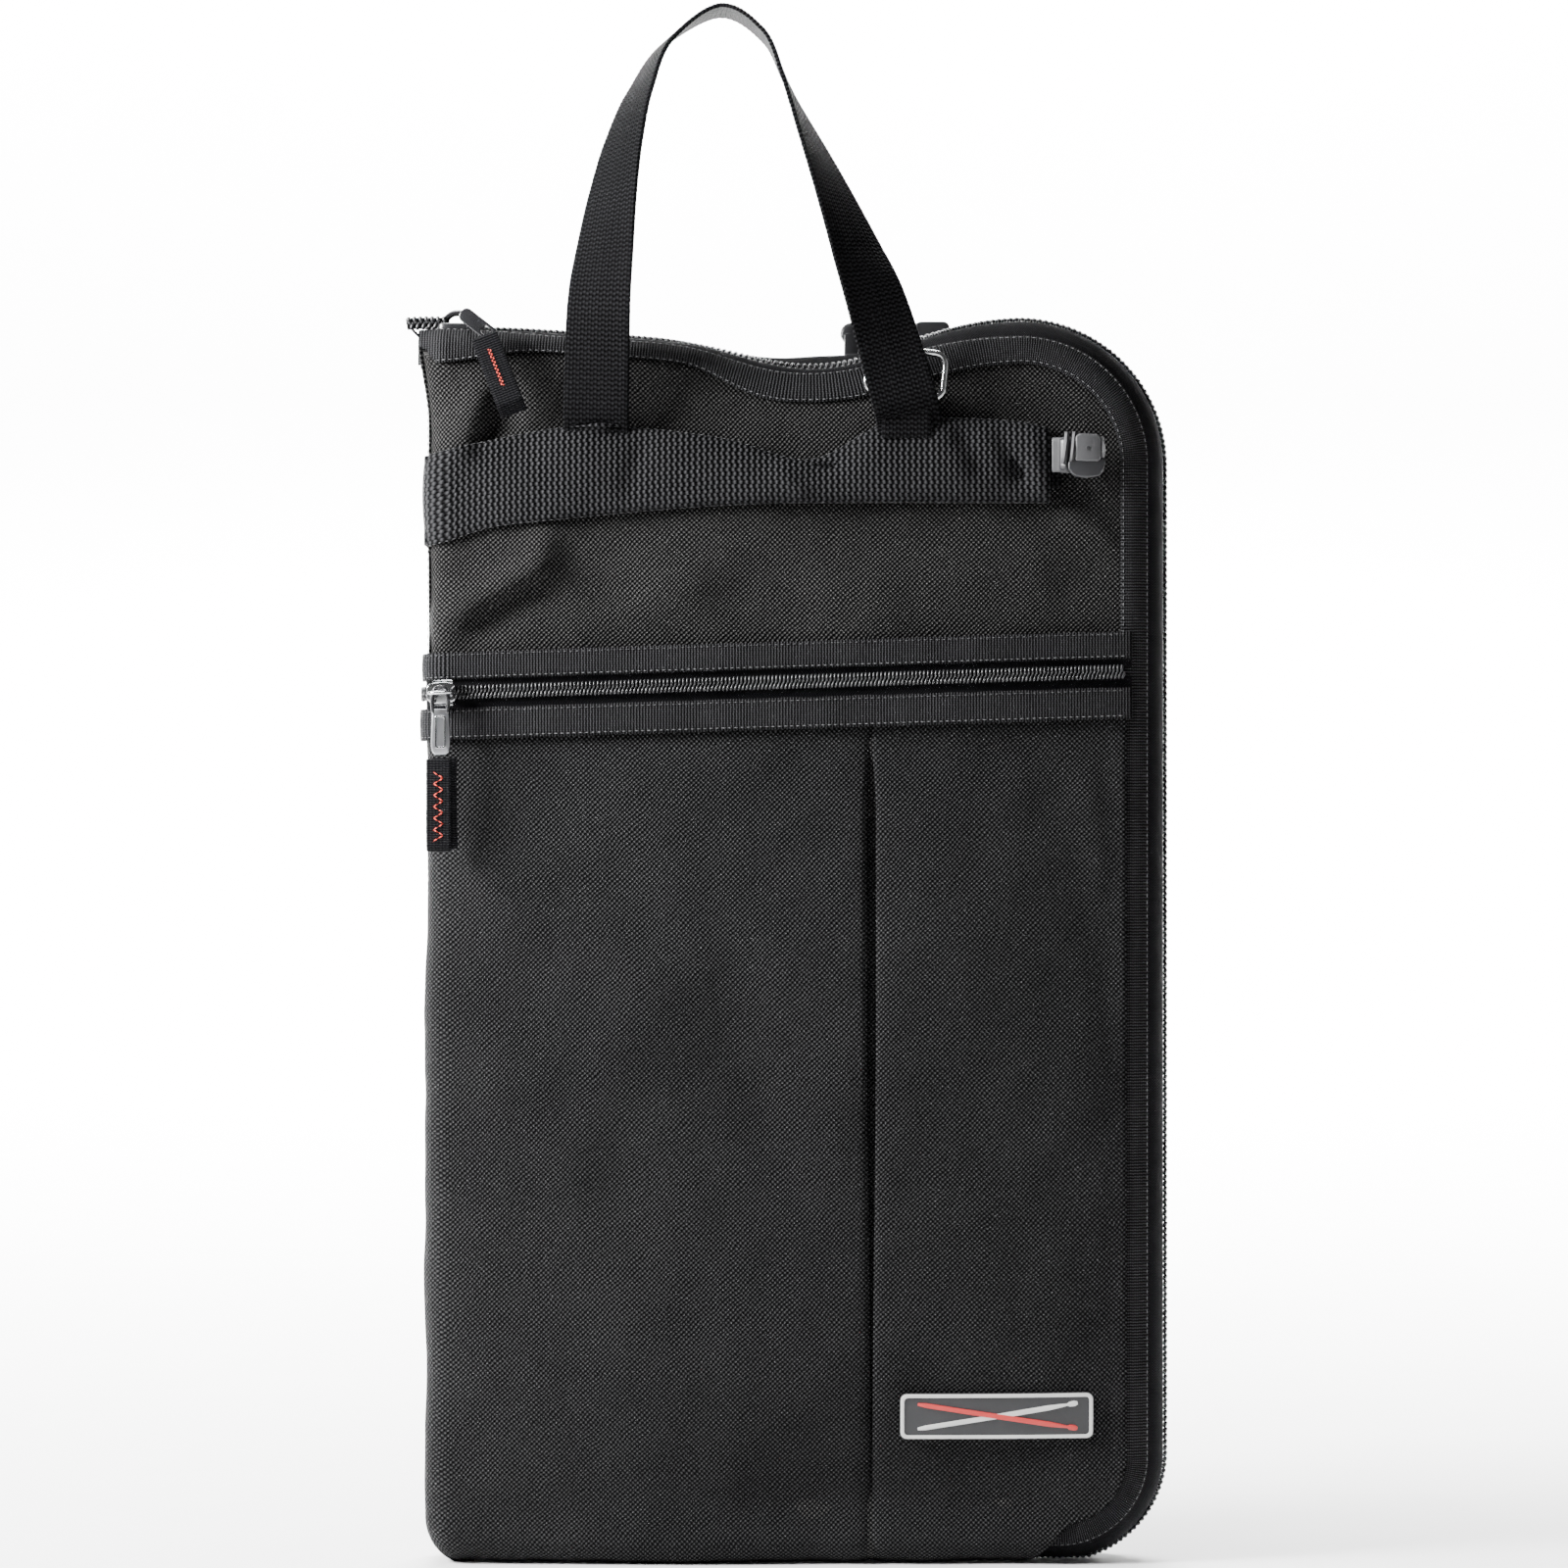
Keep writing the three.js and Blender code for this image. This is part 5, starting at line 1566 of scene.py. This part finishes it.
def spine_lining():
    y = np.linspace(-9.5, 9.5, 9)
    z = np.linspace(22, 468, 60)
    grid = np.stack(np.meshgrid(y, z, indexing="ij"), -1)
    x = SPINE_X + 5.4 + 0.3 * wander(grid[..., 0], grid[..., 1], 22, 50)
    points = np.stack([x, grid[..., 0], grid[..., 1]], -1)
    piece = shell("spine_lining_cloth", points, 0.6, LINING, cloth=grid)
    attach(piece, "spine")
    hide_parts("spine_lining")


# ---- the room, the lights and the camera ----------------------------------------------------


def backdrop():
    """A pale floor that curves up behind the bag."""
    start, radius = 2100, 700
    turns = np.radians(np.linspace(6, 90, 15))
    profile = [(-3200, 0), (start, 0)]
    profile += [(start + radius * math.sin(a), radius - radius * math.cos(a)) for a in turns]
    profile += [(start + radius, 3600)]
    x = np.array([-3600.0, 3600.0])
    points = [[(px, y, z) for y, z in profile] for px in x]
    f = Finish("studio_floor", (0.86, 0.86, 0.86), 0.7)
    f.color(f.blend(f.grain(60, 2), (0.84, 0.84, 0.84), (0.88, 0.88, 0.88)))
    points = np.array(points)
    floor = add_mesh("floor", points.reshape(-1, 3), grid_faces(2, len(profile)), f.material)


def area_light(name, place, target, size, power, spread=180):
    data = bpy.data.lights.new(name, "AREA")
    data.shape, data.size, data.size_y = "RECTANGLE", size[0], size[1]
    data.energy, data.spread = power, math.radians(spread)
    lamp = bpy.data.objects.new(name, data)
    bpy.context.scene.collection.objects.link(lamp)
    lamp.location = place
    lamp.rotation_euler = (Vector(target) - Vector(place)).to_track_quat("-Z", "Y").to_euler()


def lights():
    world = bpy.data.worlds.new("studio")
    bpy.context.scene.world = world
    world.use_nodes = True
    world.node_tree.nodes["Background"].inputs[0].default_value = (1, 1, 1, 1)
    world.node_tree.nodes["Background"].inputs[1].default_value = 0.08
    middle = (0, 0, 0.28)
    area_light("key", (-0.85, -0.3, 0.72), (-0.02, 0, 0.3), (0.3, 0.4), 54)
    area_light("top", (-0.3, -0.28, 1.4), middle, (0.8, 0.35), 14)
    area_light("fill", (1.5, -1.4, 0.7), middle, (0.8, 1.2), 1.2)
    area_light("backdrop_wash", (0, 1.8, 2.5), (0, 2.8, 0.4), (4.0, 0.5), 620, 90)
    area_light("floor_wash", (0, 1.3, 2.4), (0, 1.05, 0), (3.6, 0.5), 190, 62)


def camera():
    """Square on to the front, level with the middle of the bag and its handle."""
    data = bpy.data.cameras.new("camera")
    data.sensor_width = 36
    data.lens = 100
    eye = bpy.data.objects.new("camera", data)
    bpy.context.scene.collection.objects.link(eye)
    middle = Vector((-0.0057, 0, 0.303))
    eye.location = middle + Vector((0, -1.706, 0))
    eye.rotation_euler = (math.pi / 2, 0, 0)
    bpy.context.scene.camera = eye


camera()
padded_panel("front_padded_panel", -1, front_folds, ["front_outer_panel", "front_foam_pad"])
padded_panel("back_padded_panel", 1, back_folds, ["back_outer_panel", "back_foam_pad"])
edge_pieces(-1, "front", "front_cover")
edge_pieces(1, "back", "back_shell")
big_zip_row(-1, "front", "front_cover")
big_zip_row(1, "back", "back_shell")
pocket_near()
pocket_far()
pleat_back()
pocket_zip()
sleeve("front_sleeve_webbing", -1, "front_sleeve", -154.0)
sleeve("back_sleeve_webbing", 1, "back_sleeve", -154.0)
spine_pieces()
handles()
main_slider()
main_pull()
pocket_slider()
pocket_pull()
front_ring()
front_hook()
back_hook()
label_patch()
zip_tail()
lining("front_lining_cloth", -1, "front_cover", ["front_lining"])
lining("back_lining_cloth", 1, "back_shell", ["back_lining"])
stick_pockets("front_stick_sleeves", "front_stick_pockets", 2, -1, "front_cover")
stick_pockets("back_stick_sleeves", "back_stick_pockets", 3, 1, "back_shell")
spine_lining()
backdrop()
lights()
